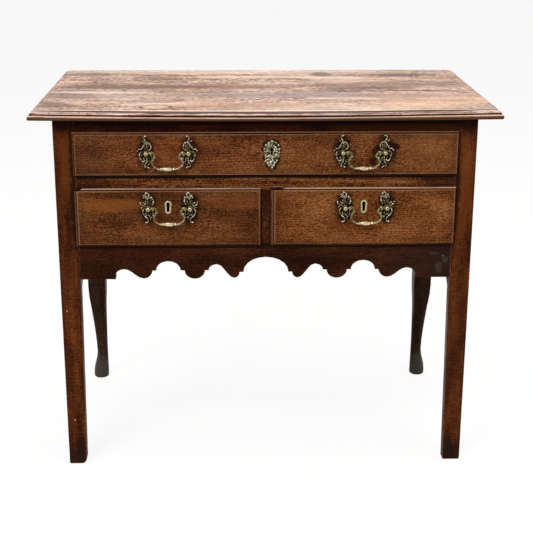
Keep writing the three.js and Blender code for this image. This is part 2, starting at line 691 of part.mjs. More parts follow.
// Bearers: a runner notched round the legs, with a guide that fills out to the side panel
function bearer(top, thickness, frontEnd, guideHeight) {
  const inner = legInner - BEARER_REACH;
  const beside = legInner - FIT;
  const outer = sidePanel[0] - FIT;
  const notch = [LEG_SIDE + FIT, rearPostFront - FIT];
  const ends = [frontEnd + FIT, backPanel[0] - FIT];
  const outline = points([
    [inner, ends[0]],
    [beside, ends[0]],
    [beside, notch[0]],
    [outer, notch[0]],
    [outer, notch[1]],
    [beside, notch[1]],
    [beside, ends[1]],
    [inner, ends[1]],
  ]);
  const runner = prism(outline, "z", top - thickness, top);
  if (!guideHeight) return runner;
  return join(runner, block([legInner, outer], notch, [top - thickness, top + guideHeight]));
}

function makeBearers() {
  const upper = bearer(upperOpeningBottom, DIVIDER_HEIGHT, railBack, GUIDE_HEIGHT);
  const lower = bearer(lowerOpeningBottom, LOWER_BEARER_THICKNESS, apronBack, GUIDE_HEIGHT);
  const kickerTop = upperOpeningTop + KICKER_THICKNESS;
  addPair("upper_bearer", upper, linerOak);
  addPair("lower_bearer", lower, linerOak);
  addPair("kicker", bearer(kickerTop, KICKER_THICKNESS, railBack, 0), linerOak);
  const ends = [railBack + FIT, backPanel[0] - FIT];
  const guideHalf = MUNTIN_WIDTH / 2;
  const runnerHalf = guideHalf + CENTRE_BEARER_REACH;
  const bottom = lowerOpeningBottom - LOWER_BEARER_THICKNESS;
  const centre = join(
    block([-runnerHalf, runnerHalf], ends, [bottom, lowerOpeningBottom]),
    block([-guideHalf, guideHalf], ends, [bottom, lowerOpeningBottom + GUIDE_HEIGHT]),
  );
  add("lower_bearer_centre", centre, linerOak);
}

// Dovetails: tails on the drawer's sides, and the same shapes grown by the fit as their sockets
function tailCentres([low, high]) {
  const count = Math.max(2, Math.round((high - low) / TAIL_PITCH));
  return Array.from({ length: count }, (_, k) => low + ((k + 1 / 2) * (high - low)) / count);
}

function tails(x, root, tip, heights, by) {
  const away = Math.sign(root - tip);
  const half = TAIL_HALF + by;
  return tailCentres(heights).map((z) =>
    prism(
      points([
        [root + away * OVERRUN, z - half],
        [root + away * OVERRUN, z + half],
        [root, z + half],
        [tip - away * by, z + half + TAIL_FLARE],
        [tip - away * by, z - half - TAIL_FLARE],
        [root, z - half],
      ]),
      "x",
      ...x,
    ),
  );
}

// A keyhole: a round hole over a slot with a round foot, drawn in X and Z, and grown by a rim for its surround.
function keyholeShape(x, z, keyhole, rim = 0) {
  const radius = keyhole.radius + rim;
  const half = keyhole.slot / 2 + rim;
  const meet = Math.asin(half / radius);
  const shape = new THREE.Shape();
  shape.absarc(x, z - keyhole.drop - rim + half, half, Math.PI, 2 * Math.PI, false);
  shape.absarc(x, z, radius, meet - Math.PI / 2, (3 * Math.PI) / 2 - meet, false);
  return shape;
}

const upperKeyhole = {
  x: UPPER_KEYHOLE_X,
  z: upperKeyholeZ,
  radius: UPPER_KEYHOLE_RADIUS,
  slot: UPPER_KEYHOLE_SLOT,
  drop: UPPER_KEYHOLE_DROP,
};
const lowerKeyhole = (side) => ({
  x: side * shortDrawerX,
  z: lowerOpeningTop - LOWER_KEYHOLE_DEPTH,
  radius: LOWER_KEYHOLE_RADIUS,
  slot: LOWER_KEYHOLE_SLOT,
  drop: LOWER_KEYHOLE_DROP,
});

function rectangle(x, z, y) {
  const corners = [[x[0], z[0]], [x[1], z[0]], [x[1], z[1]], [x[0], z[1]]];
  return corners.map(([across, up]) => new THREE.Vector3(across, y, up));
}

// A lipped front with a thumb moulding round its flat field.
function drawerFrontBlank(opening, inner) {
  const lip = [grow(opening.x, LIP_OVERLAP), grow(opening.z, LIP_OVERLAP)];
  const stepInset = THUMB_SHELF + THUMB_WIDTH;
  const shelf = [THUMB_WIDTH, field + THUMB_STEP];
  const edge = [
    [stepInset, field],
    [stepInset, field + THUMB_STEP],
    shelf,
    ...quarter(shelf, [0, -LIP_GAP - LIP_EDGE], "start"),
    [0, -LIP_GAP],
  ];
  const rings = edge.map(([inset, y]) => rectangle(grow(lip[0], -inset), grow(lip[1], -inset), y));
  rings.push(rectangle(inner.x, inner.z, -LIP_GAP), rectangle(inner.x, inner.z, frontBack));
  return loft(rings);
}

function makeDrawer(name, opening, keyhole, handleXs, handleZ, threadRim) {
  const inner = {
    x: grow(opening.x, -DRAWER_SIDE_CLEARANCE),
    z: [opening.z[0] + FIT, opening.z[1] - DRAWER_TOP_CLEARANCE],
  };
  const bottomZ = [inner.z[0] + BOTTOM_RISE, inner.z[0] + BOTTOM_RISE + BOTTOM_THICKNESS];
  const backZ = [bottomZ[1] + FIT, inner.z[1] - DRAWER_BACK_DROP];
  const backY = [drawerRear - DRAWER_BACK_THICKNESS, drawerRear];
  const bottomX = grow(inner.x, GROOVE_DEPTH - DRAWER_SIDE_THICKNESS);
  const bottomY = [frontBack - GROOVE_DEPTH, drawerRear];
  const groove = block(bottomX, grow(bottomY, OVERRUN), grow(bottomZ, FIT));
  const tailTip = frontBack - TAIL_LENGTH;
  const ends = [
    [inner.x[0], inner.x[0] + DRAWER_SIDE_THICKNESS],
    [inner.x[1] - DRAWER_SIDE_THICKNESS, inner.x[1]],
  ];

  const sockets = ends.flatMap((x) => tails(grow(x, FIT), frontBack, tailTip, inner.z, FIT));
  const through = [field - OVERRUN, frontBack + OVERRUN];
  const lockTop = [inner.z[1] - LOCK_HEIGHT - FIT, inner.z[1] + OVERRUN];
  const lockX = grow([keyhole.x, keyhole.x], LOCK_WIDTH / 2 + FIT);
  const cuts = [
    ...sockets,
    block(bottomX, [frontBack - GROOVE_DEPTH, frontBack + OVERRUN], grow(bottomZ, FIT)),
    block(lockX, [lockFront, frontBack + OVERRUN], lockTop),
    prism(keyholeShape(keyhole.x, keyhole.z, keyhole), "y", ...through),
    ...handleXs.flatMap((x) =>
      [-1, 1].map((side) => {
        const postX = x + (side * POST_SPACING) / 2;
        return rod("y", SHANK_RADIUS + FIT, ...through, [postX, handleZ]);
      }),
    ),
  ];
  if (threadRim) {
    const seat = keyholeShape(keyhole.x, keyhole.z, keyhole, threadRim + FIT);
    cuts.push(prism(seat, "y", field - OVERRUN, field + THREAD_DEPTH - THREAD_PROUD + FIT));
  }
  add(name + "_front", cut(drawerFrontBlank(opening, inner), ...cuts), drawerOak);

  const sideY = [frontBack + FIT, backY[0] - FIT];
  ["left", "right"].forEach((side, k) => {
    const body = block(ends[k], sideY, inner.z);
    const frontTails = tails(ends[k], frontBack, tailTip, inner.z, 0);
    const rearTails = tails(ends[k], backY[0], drawerRear, backZ, 0);
    add(name + "_side_" + side, cut(join(body, ...frontTails, ...rearTails), groove), linerOak);
  });
  const rearSockets = ends.flatMap((x) => tails(grow(x, FIT), backY[0], drawerRear, backZ, FIT));
  add(name + "_back", cut(block(inner.x, backY, backZ), ...rearSockets), linerOak);
  const bottom = block(grow(bottomX, -FIT), [bottomY[0] + FIT, drawerRear], bottomZ);
  add(name + "_bottom", bottom, linerOak);
}

// Lock case with its bolt's channel, open above, and a key well below the bolt
function makeLock(name, keyhole, openingTop) {
  const top = openingTop - DRAWER_TOP_CLEARANCE;
  const caseX = grow([keyhole.x, keyhole.x], LOCK_WIDTH / 2);
  const caseY = [lockFront + FIT, lockFront + FIT + LOCK_THICKNESS];
  const caseZ = [top - LOCK_HEIGHT, top];
  const boltX = grow([keyhole.x, keyhole.x], BOLT_WIDTH / 2);
  const boltZ = [top - BOLT_HEIGHT, top];
  const channel = block(grow(boltX, FIT), grow(boltY, FIT), [boltZ[0] - FIT, top + OVERRUN]);
  const wellFoot = Math.max(keyhole.z - keyhole.drop, caseZ[0] + LOCK_WALL);
  const wellX = grow([keyhole.x, keyhole.x], KEY_WELL_HALF);
  const well = block(wellX, grow(boltY, FIT), [wellFoot, boltZ[0]]);
  const keyZ = [wellFoot, Math.min(keyhole.z + keyhole.radius, boltZ[0])];
  const keyX = grow([keyhole.x, keyhole.x], keyhole.radius);
  const keyWay = block(keyX, [caseY[0] - OVERRUN, boltY[0] + FIT], keyZ);
  add(name + "_lock_case", cut(block(caseX, caseY, caseZ), channel, well, keyWay), lockIron);
  add(name + "_lock_bolt", block(boltX, boltY, boltZ), lockIron);
}

// The long drawer's escutcheon: an egg with a scalloped edge, its keyhole and its piercings
function makeEscutcheon() {
  const middle = upperKeyholeZ - ESCUTCHEON_DROP;
  const outline = [];
  const steps = 2 * ESCUTCHEON_LOBES;
  for (let k = 0; k < steps; k++) {
    const turn = (2 * Math.PI * k) / steps;
    const scallop = 1 - scallopShare * (1 - Math.cos(ESCUTCHEON_LOBES * turn)) / 2;
    const half = (ESCUTCHEON_WIDTH / 2) * (1 + eggShare * Math.cos(turn)) * scallop;
    const x = UPPER_KEYHOLE_X + half * Math.sin(turn);
    outline.push([x, middle + (ESCUTCHEON_HEIGHT / 2) * Math.cos(turn) * scallop]);
  }
  const back = field - FIT;
  const plate = prism(points(outline), "y", back - ESCUTCHEON_THICKNESS, back);
  const through = grow([back - ESCUTCHEON_THICKNESS, back], OVERRUN);
  const reach = [ESCUTCHEON_WIDTH / 2 - ESCUTCHEON_RIM, ESCUTCHEON_HEIGHT / 2 - ESCUTCHEON_RIM];
  const piercings = piercingShares.map(([across, up]) => {
    const place = [UPPER_KEYHOLE_X + across * reach[0], middle + up * reach[1]];
    return rod("y", PIERCING_RADIUS, ...through, place);
  });
  const { x, z } = upperKeyhole;
  const keyhole = prism(keyholeShape(x, z, upperKeyhole), "y", ...through);
  add("upper_escutcheon", cut(plate, keyhole, ...piercings), agedBrass);
}

// A lower drawer's surround: a keyhole-shaped brass ring let into the front
function makeThread(name, keyhole) {
  const ring = keyholeShape(keyhole.x, keyhole.z, keyhole, THREAD_RIM);
  ring.holes.push(keyholeShape(keyhole.x, keyhole.z, keyhole));
  const front = field - THREAD_PROUD;
  add(name + "_escutcheon", prism(ring, "y", front, front + THREAD_DEPTH), agedBrass);
}

// Handles, modelled round the middle between their posts, with the drawer's field at y = 0
function scroll(pathShares) {
  const curve = new THREE.SplineCurve(
    pathShares.map(([across, up]) => new THREE.Vector2(across * PLATE_WIDTH, up * PLATE_HEIGHT)),
  );
  const steps = Math.round((pathShares.length - 1) * SCROLL_STEPS);
  const edges = [[], []];
  for (let k = 0; k <= steps; k++) {
    const [at, along] = [curve.getPoint(k / steps), curve.getTangent(k / steps)];
    const half = mix(SCROLL_WIDTH, SCROLL_TIP_WIDTH, k / steps) / 2;
    edges[0].push([at.x - along.y * half, at.y + along.x * half]);
    edges[1].unshift([at.x + along.y * half, at.y - along.x * half]);
  }
  return prism(points(edges.flat()), "y", -FIT - PLATE_THICKNESS, -FIT);
}

function post() {
  const plateFront = -FIT - PLATE_THICKNESS;
  const collar = plateFront - POST_COLLAR_HEIGHT;
  const neckEnd = -POST_PROUD + Math.sqrt(POST_BALL_RADIUS ** 2 - POST_NECK_RADIUS ** 2);
  const nut = [FRONT_THICKNESS + FIT, FRONT_THICKNESS + FIT + NUT_THICKNESS];
  const from = Math.asin(POST_NECK_RADIUS / POST_BALL_RADIUS);
  const ball = Array.from({ length: BALL_STEPS }, (_, k) => {
    const turn = mix(Math.PI, from, k / BALL_STEPS);
    return [POST_BALL_RADIUS * Math.sin(turn), -POST_PROUD + POST_BALL_RADIUS * Math.cos(turn)];
  });
  ball[0][0] = 0;
  return revolve(
    [
      ...ball,
      [POST_NECK_RADIUS, neckEnd],
      [POST_NECK_RADIUS, collar],
      [POST_COLLAR_RADIUS, collar],
      [POST_COLLAR_RADIUS, plateFront],
      [SHANK_RADIUS, plateFront],
      [SHANK_RADIUS, nut[0]],
      [NUT_RADIUS, nut[0]],
      [NUT_RADIUS, nut[1]],
      [SHANK_RADIUS, nut[1]],
      [SHANK_RADIUS, nut[1] + SHANK_END],
      [0, nut[1] + SHANK_END],
    ],
    POST_SIDES,
  );
}

function handlePlate(scrollShares) {
  const boss = rod("y", PLATE_BOSS_RADIUS, -FIT - PLATE_THICKNESS, -FIT, [0, 0]);
  const whole = join(boss, ...scrollShares.map(scroll), post());
  const eye = rod("x", PINTLE_RADIUS + FIT, -POST_BALL_RADIUS - OVERRUN, -PINTLE_END + FIT, [
    -POST_PROUD,
    0,
  ]);
  return cut(whole, eye).translate(POST_SPACING / 2, 0, 0);
}

// The bail's half path in X and Z with its radius, from the pintle to the grip's middle.
function bailPath() {
  const half = POST_SPACING / 2;
  const neck = bailPathShares.map(([across, up, r]) => [half * (1 - across), BAIL_DROP * up, r]);
  const beadX = [BEAD_DISTANCE + BEAD_HALF, BEAD_DISTANCE, BEAD_DISTANCE - BEAD_HALF];
  const beadRadii = [BAIL_NECK_RADIUS, BAIL_BEAD_RADIUS, BAIL_NECK_RADIUS];
  return [
    [half - PINTLE_END, 0, PINTLE_RADIUS],
    ...neck,
    ...beadX.map((x, k) => [x, -BAIL_DROP, beadRadii[k]]),
    [BEAD_DISTANCE / 2, -BAIL_DROP, BAIL_GRIP_END_RADIUS],
    [0, -BAIL_DROP, BAIL_GRIP_RADIUS],
  ];
}

function bail() {
  const half = bailPath();
  const other = half.slice(0, -1).reverse().map(([x, z, r]) => [-x, z, r]);
  const stops = [...half, ...other].map(([x, z, r]) => new THREE.Vector3(x, r, z));
  const curve = new THREE.CatmullRomCurve3(stops, false, "centripetal");
  const last = stops.length - 1;
  const curved = (k) => Math.min(k, last - k) < bailPathShares.length;
  const places = stops.flatMap((_, k) => (k < last && curved(k + 1 / 2) ? [k, k + 1 / 2] : [k]));
  const rings = [];
  for (const place of places) {
    const at = curve.getPoint(place / last);
    const along = curve.getTangent(place / last).setY(0).normalize();
    const across = new THREE.Vector3(-along.z, 0, along.x);
    const ring = Array.from({ length: BAIL_SIDES }, (_, s) => {
      const turn = (2 * Math.PI * s) / BAIL_SIDES;
      return new THREE.Vector3(at.x, -POST_PROUD, at.z)
        .addScaledVector(across, at.y * Math.cos(turn))
        .addScaledVector(Y, at.y * Math.sin(turn));
    });
    rings.push(ring);
  }
  return loft(rings);
}

function makeHandle(name, x, z, scrollShares) {
  const group = new THREE.Group();
  group.position.set(x, field, z);
  caseGroup.add(group);
  addPair(name + "_plate", handlePlate(scrollShares), agedBrass, group);
  add(name + "_bail", bail(), agedBrass, group);
}

makeTop();
makeLegs();
makeRails();
makeApron();
makePanels();
makeBearers();

const upperOpening = { x: [-legInner, legInner], z: [upperOpeningBottom, upperOpeningTop] };
const upperHandles = [
  -shortDrawerX + UPPER_LEFT_HANDLE_OFFSET,
  shortDrawerX + UPPER_RIGHT_HANDLE_OFFSET,
];
makeDrawer("upper_drawer", upperOpening, upperKeyhole, upperHandles, upperHandleZ, 0);
makeLock("upper", upperKeyhole, upperOpeningTop);
makeEscutcheon();
makeHandle("upper_left_handle", upperHandles[0], upperHandleZ, upperScrollShares);
makeHandle("upper_right_handle", upperHandles[1], upperHandleZ, upperScrollShares);

const lowerSides = [
  ["lower_left", -1, [-legInner, -MUNTIN_WIDTH / 2], LOWER_LEFT_HANDLE_OFFSET],
  ["lower_right", 1, [MUNTIN_WIDTH / 2, legInner], LOWER_RIGHT_HANDLE_OFFSET],
];
for (const [name, side, x, handleOffset] of lowerSides) {
  const opening = { x, z: [lowerOpeningBottom, lowerOpeningTop] };
  const keyhole = lowerKeyhole(side);
  const handleX = side * shortDrawerX + handleOffset;
  makeDrawer(name + "_drawer", opening, keyhole, [handleX], lowerHandleZ, THREAD_RIM);
  makeLock(name, keyhole, lowerOpeningTop);
  makeThread(name, keyhole);
  makeHandle(name + "_handle", handleX, lowerHandleZ, lowerScrollShares);
}

export default lowboy;
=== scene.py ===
# %% [markdown]
# # An oak lowboy, dressed for the studio
# A lowboy is a small side table with drawers, made by country joiners in the eighteenth century.
# This one has a moulded oak top, one long drawer over two short ones, a scalloped apron, square
# front legs, shaped back legs on pad feet, and cast brass swan-neck handles.
#
# The measured model comes first, as a frame that never moves. All that follows dresses it: edges
# that hands and brooms have rubbed, oak with its grain and grime, and brass cast in fine scrolls.

# %% Load the frame
import functools
import json
import math

import bmesh
import bpy
from mathutils import Matrix, Vector, noise


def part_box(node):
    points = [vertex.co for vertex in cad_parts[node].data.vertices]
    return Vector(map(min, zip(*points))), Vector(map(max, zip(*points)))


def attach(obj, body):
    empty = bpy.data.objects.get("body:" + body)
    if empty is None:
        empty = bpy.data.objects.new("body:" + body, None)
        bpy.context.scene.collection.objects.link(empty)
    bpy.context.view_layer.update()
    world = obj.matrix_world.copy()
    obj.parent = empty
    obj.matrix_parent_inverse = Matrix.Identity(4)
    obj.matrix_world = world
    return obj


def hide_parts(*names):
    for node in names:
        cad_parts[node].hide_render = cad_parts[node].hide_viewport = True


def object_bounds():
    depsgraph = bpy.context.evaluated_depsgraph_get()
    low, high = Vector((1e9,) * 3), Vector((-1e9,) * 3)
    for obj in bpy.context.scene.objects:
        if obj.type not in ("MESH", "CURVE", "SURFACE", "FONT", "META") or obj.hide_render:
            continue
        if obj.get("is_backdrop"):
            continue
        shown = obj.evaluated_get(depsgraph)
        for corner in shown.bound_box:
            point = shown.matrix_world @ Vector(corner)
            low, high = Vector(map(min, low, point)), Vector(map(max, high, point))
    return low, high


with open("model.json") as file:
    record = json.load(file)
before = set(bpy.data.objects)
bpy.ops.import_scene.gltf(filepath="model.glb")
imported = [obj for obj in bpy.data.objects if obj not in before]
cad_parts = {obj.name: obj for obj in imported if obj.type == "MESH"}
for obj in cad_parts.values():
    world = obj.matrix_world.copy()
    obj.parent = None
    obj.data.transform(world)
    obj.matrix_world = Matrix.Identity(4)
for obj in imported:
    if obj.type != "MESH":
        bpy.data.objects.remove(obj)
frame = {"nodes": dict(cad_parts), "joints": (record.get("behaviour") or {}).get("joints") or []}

nodes = frame["nodes"]
joints = {joint["name"]: joint for joint in frame["joints"]}
measured_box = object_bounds()

# %% [markdown]
# ## Units, colours and shader nodes
# Blender works in metres and a joiner in millimetres, so `MM` turns one into the other. Colours
# are written as people pick them, in sRGB hex, and the renderer wants them linear. Each shader
# below is built by one small function, which adds a node with its settings and its links.

# %% Millimetres, linear colour and one node helper
MM = 0.001


def linear(hex_colour):
    parts = [int(hex_colour[k : k + 2], 16) / 255 for k in (1, 3, 5)]
    return [p / 12.92 if p <= 0.04045 else ((p + 0.055) / 1.055) ** 2.4 for p in parts] + [1]


def set_sockets(node, inputs):
    """Fills sockets, given in order or by name. A value is set and an output linked, and a node
    stands for its first output."""
    for socket, value in inputs.items() if isinstance(inputs, dict) else enumerate(inputs):
        if isinstance(value, bpy.types.Node):
            value = value.outputs[0]
        if isinstance(value, bpy.types.NodeSocket):
            node.id_data.links.new(value, node.inputs[socket])
        else:
            node.inputs[socket].default_value = value


def add_node(tree, kind, inputs=(), stops=None, **settings):
    """Adds a shader node with its links. The stops of a ramp are its places and their colours."""
    node = tree.nodes.new("ShaderNode" + kind)
    for name, value in settings.items():
        setattr(node, name, value)
    set_sockets(node, inputs)
    if stops:
        first, last = node.color_ramp.elements
        first.position, last.position = stops[0][0], stops[-1][0]
        first.color, last.color = linear(stops[0][1]), linear(stops[-1][1])
        for place, colour in stops[1:-1]:
            node.color_ramp.elements.new(place).color = linear(colour)
    return node


def new_material(name):
    """A new material, add_node with its tree already given, and its shader."""
    material = bpy.data.materials.new(name)
    material.use_nodes = True
    tree = material.node_tree
    return material, functools.partial(add_node, tree), tree.nodes["Principled BSDF"]


print("Mid grey #808080 is", round(linear("#808080")[0], 3), "in linear light")

# %% [markdown]
# ## The camera
# A photographer stood in front of the table, a little left of its middle, with the lens well above
# the top and tipped down. The camera is placed from that stance: where it stood, how far it was
# turned, and a lens long enough that the legs hardly converge.

# %% Place the camera
CAMERA_PLACE = Vector((-0.067, -2.376, 1.106))
CAMERA_TURN, CAMERA_TIP, CAMERA_ROLL = (math.radians(a) for a in (1.81, 17.74, 0.16))
SENSOR_MM = 36
LENS_MM = 79.56
TABLE_MIDDLE = Vector((0, 0, 0.5))

camera_data = bpy.data.cameras.new("studio_camera")
camera_data.sensor_width = SENSOR_MM
camera_data.lens = LENS_MM
camera = bpy.data.objects.new("studio_camera", camera_data)
bpy.context.scene.collection.objects.link(camera)
bpy.context.scene.camera = camera
upright = Matrix.Rotation(math.pi / 2 - CAMERA_TIP, 4, "X")
turned = Matrix.Rotation(-CAMERA_TURN, 4, "Z") @ upright @ Matrix.Rotation(CAMERA_ROLL, 4, "Z")
camera.matrix_world = Matrix.Translation(CAMERA_PLACE) @ turned
print("Camera", round((CAMERA_PLACE - TABLE_MIDDLE).length, 2), "m from the table's middle")

# %% [markdown]
# ## The floor
# The table stands on a pale studio floor, wide enough to reach the horizon in a view from low
# down. To the camera and in the reflections of brass and polish it is near white. The light that
# it throws up under the table stays low, so the back legs keep their deep shade. Light Path tells
# the two apart: it says whether a ray comes from the camera, off a glossy surface or through one.

# %% Lay the floor
FLOOR_HALF = 100.0  # metres
FLOOR_COLOUR, FLOOR_BOUNCE_COLOUR = "#71706e", "#5b5957"
FLOOR_GLOW = 0.86  # of white, to the camera and to reflections

floor_mesh = bpy.data.meshes.new("floor")
corners = [(-1, -1), (1, -1), (1, 1), (-1, 1)]
floor_mesh.from_pydata([(x * FLOOR_HALF, y * FLOOR_HALF, 0) for x, y in corners], [], [range(4)])
floor = bpy.data.objects.new("floor", floor_mesh)
bpy.context.scene.collection.objects.link(floor)
floor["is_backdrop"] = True

floor_finish, add, shader = new_material("pale_studio_floor")
path = add("LightPath").outputs
straight = add("Math", (path["Is Camera Ray"], path["Is Glossy Ray"]), operation="MAXIMUM")
seen = add("Math", (straight, path["Is Transmission Ray"]), operation="MAXIMUM")
floor_colour = add("Mix", {0: seen, 6: linear(FLOOR_BOUNCE_COLOUR), 7: linear(FLOOR_COLOUR)},
                   data_type="RGBA").outputs[2]
glow = add("Math", (seen, FLOOR_GLOW), operation="MULTIPLY")
set_sockets(shader, {"Base Color": floor_colour, "Roughness": 0.9, "Specular IOR Level": 0.1,
                     "Emission Color": linear("#ffffff"), "Emission Strength": glow})
floor_mesh.materials.append(floor_finish)
print("The floor is", 2 * FLOOR_HALF, "m across")

# %% [markdown]
# ## The light
# One broad lamp hangs high on the left, as a north window would light a room, another hangs
# overhead, a weaker one fills from the right, and a grey world lights the rest. Together they
# light a surface about as brightly as its colour is written.

# %% Hang the lamps
WORLD_COLOUR, WORLD_STRENGTH = "#f6f5f4", 0.42
LAMPS = [  # name, place, width in metres and watts
    ("window", (-1.3, -2.2, 2.6), 1.6, 66),
    ("fill", (2.2, -2.2, 1.6), 1.8, 22),
    ("skylight", (0.3, 0.2, 3.2), 2.2, 50),
]

world = bpy.data.worlds.new("studio_world")
bpy.context.scene.world = world
world.use_nodes = True
set_sockets(world.node_tree.nodes["Background"],
            {"Color": linear(WORLD_COLOUR), "Strength": WORLD_STRENGTH})
for name, place, width, watts in LAMPS:
    lamp = bpy.data.lights.new(name, "AREA")
    lamp.shape = "DISK"
    lamp.size = width
    lamp.energy = watts
    softbox = bpy.data.objects.new(name, lamp)
    aimed = (Vector(place) - TABLE_MIDDLE).to_track_quat("Z", "Y").to_matrix().to_4x4()
    softbox.matrix_world = Matrix.Translation(place) @ aimed
    bpy.context.scene.collection.objects.link(softbox)
bpy.context.scene.view_settings.view_transform = "Standard"
print(len(LAMPS), "lamps and a grey world")

# %% [markdown]
# ## Oak
# Oak is a ring-porous wood. Each spring the tree lays down a band of wide open pores, and cut
# along the board they show as short dark dashes in bands that follow the growth rings. Two and a
# half centuries of wax and smoke fill them almost black, and the wood between turns from straw to
# tobacco brown.
#
# An image would need unwrapping and would repeat. The grain is instead grown in the wood itself:
# a slow noise bends the rings, a dot product counts them across the board, and stretched noises
# draw the fibres and the pores. Real pores are 0.3 mm wide, finer than the render can show, so
# they are drawn about 1 mm wide here.

# %% Grow the grain
RING_MM = 4.2
SWIRL_MM = (850, 95)  # how long and how wide the bends of the rings are
FIBRE_LENGTH_MM, FIBRE_MM = 26, 1.9
PORE_LENGTH_MM, PORE_MM = 5.5, 1.7
PORES_FROM, PORES_TO = 0.58, 0.7  # of their noise: only its peaks are pores
BEND_MM, BENDS_PER_METRE = 11, 2.4
LOG_STEP = Vector((0.41, 0.23, 0.17))  # metres in the log from one board to the next
TURN_GRAIN_TO_X = {"X": (0, 0, 0), "Y": (0, 0, -math.pi / 2), "Z": (0, math.pi / 2, 0)}
EASED = {"interpolation_type": "SMOOTHSTEP"}  # a soft fade in place of a straight one


def place_in_log(add, here, grain, board):
    """Where each point of a board grew in its log, whose grain runs along X with slow bends."""
    log = add("Mapping", {"Vector": here, "Location": LOG_STEP * board,
                          "Rotation": TURN_GRAIN_TO_X[grain]})
    bend = add("TexNoise", {"Vector": log, "Scale": BENDS_PER_METRE, "Detail": 1})
    return add("VectorMath", (bend.outputs["Color"], [BEND_MM * MM] * 3, log), operation="MULTIPLY_ADD")


def streaks(add, log, along_mm, across_mm, detail):
    """Noise drawn out to so many millimetres along the grain and across it."""
    per_metre = (1 / (along_mm * MM), 1 / (across_mm * MM), 1 / (across_mm * MM))
    squeezed = add("Mapping", {"Vector": log, "Scale": per_metre})
    return add("TexNoise", {"Vector": squeezed, "Scale": 1, "Detail": detail})


def growth_rings(add, log, across, swirl):
    """0 on the dark line of each ring and 1 halfway to the next."""
    counted = add("VectorMath", (log, Vector(across) / (RING_MM * MM)), operation="DOT_PRODUCT")
    swirled = add("Math", (streaks(add, log, *SWIRL_MM, 1.5), swirl, counted.outputs["Value"]),
                  operation="MULTIPLY_ADD")
    to_line = add("Math", (swirled, 0.5), operation="PINGPONG")
    return add("MapRange", (to_line, 0, 0.5), **EASED)


def filled_pores(add, log, ring, coarse):
    """1 in a pore. They crowd near the dark line of each ring."""
    pitted = add("MapRange", (streaks(add, log, PORE_LENGTH_MM * coarse, PORE_MM * coarse, 0),
                              PORES_FROM, PORES_TO), **EASED)
    crowded = add("Math", (ring, -0.6, 1), operation="MULTIPLY_ADD")
    return add("Math", (pitted, crowded), operation="MULTIPLY")


print("One growth ring every", RING_MM, "mm")

# %% [markdown]
# ## Marks on the wood
# Whatever use has left on a board is painted over its grain, coat by coat, and so is some painted
# light and shade. A coat is a cover, which says where it lies and how thick it is, and a colour.
# There are patchy films of dirt and bloom, stains with ragged outlines, the rings round a knot, and
# stripes along an edge. A drawer's lip has its own stripes, mostly painted light: a pale rim that is
# partly rubbed and partly painted highlight, painted shade in its quirk, and painted highlights on
# its inner bead and on its top face.

# %% Films, stains, knots and stripes
FILM_EDGE = 0.16  # how softly a film ends, as a part of its noise
SOFT_OUTLINE, CRISP_OUTLINE = (0.95, 1.5), (1.3, 1.58)
STAIN_RAGGED, KNOT_RAGGED = 0.9, 0.12  # how far a ragged noise pushes their outlines
# Round a drawer's lip: a dark quirk of painted shade, a pale rim that is partly rubbing and partly
# painted highlight, a tan inner bead that is a painted highlight, and a faint darkening of the field
# beside it.
LIP_SHADE_AND_HIGHLIGHT_BANDS = [  # in from a drawer front's edge: from, to, softness, strength and colour
    (1.6, 3.7, 0.3, 1.1, "#210e08"),
    (-1.0, 1.5, 0.3, 1.0, "#6a4a38"),
    (4.3, 5.5, 0.3, 0.9, "#a87c58"),
    (5.7, 16.0, 3.0, 0.3, "#3a1f10"),
]
LIP_TOP_HIGHLIGHT_MM = (-5, 1.5, 0.5)  # the painted highlight on the top face of a lip: from, to and softness


def film_coats(add, log, films):
    for along_mm, across_mm, bare, strength, colour in films:
        patches = streaks(add, log, along_mm, across_mm, 3)
        yield add("MapRange", (patches, bare, bare + FILM_EDGE, 0, strength), **EASED), colour


def from_middle(add, here, place, half):
    """0 in the middle of a mark and 1 on its outline."""
    local = add("Mapping", {"Vector": here, "Location": place, "Scale": half}, vector_type="TEXTURE")
    return add("VectorMath", (local,), operation="LENGTH").outputs["Value"]


def stain_coats(add, here, ragged, stains):
    for place, half, strength, colour, *outline in stains:
        edge = add("Math", (ragged, STAIN_RAGGED, from_middle(add, here, place, half)),
                   operation="MULTIPLY_ADD")
        yield add("MapRange", (edge, *(outline or SOFT_OUTLINE), strength, 0), **EASED), colour


def knot_coats(add, here, ragged, knots):
    for place, half, strength, colour, count, wide in knots:
        reach = add("Math", (ragged, KNOT_RAGGED, from_middle(add, here, place, half)),
                    operation="MULTIPLY_ADD")
        counted = add("Math", (reach, count), operation="MULTIPLY")
        to_ring = add("Math", (counted, 0.5), operation="PINGPONG")
        line = add("MapRange", (to_ring, wide / 4, wide, strength, 0), **EASED)
        close = add("MapRange", (reach, 1.05, 1.3, 1, 0), **EASED)
        yield add("Math", (line, close), operation="MULTIPLY"), colour


def band(add, patchy, value, low, high, soft, strength):
    """strength between low and high, fading over soft at both ends and thin in some patches."""
    begun = add("MapRange", (value, low - soft, low + soft), **EASED)
    unended = add("MapRange", (value, high - soft, high + soft, 1, 0), **EASED)
    inside = add("Math", (begun, unended), operation="MULTIPLY")
    uneven = add("Math", (inside, patchy), operation="MULTIPLY")
    return add("Math", (uneven, strength), operation="MULTIPLY")


def stripe_coats(add, patchy, xyz, stripes):
    for axis, low, high, soft, strength, colour in stripes:
        yield band(add, patchy, xyz[axis], low, high, soft, strength), colour


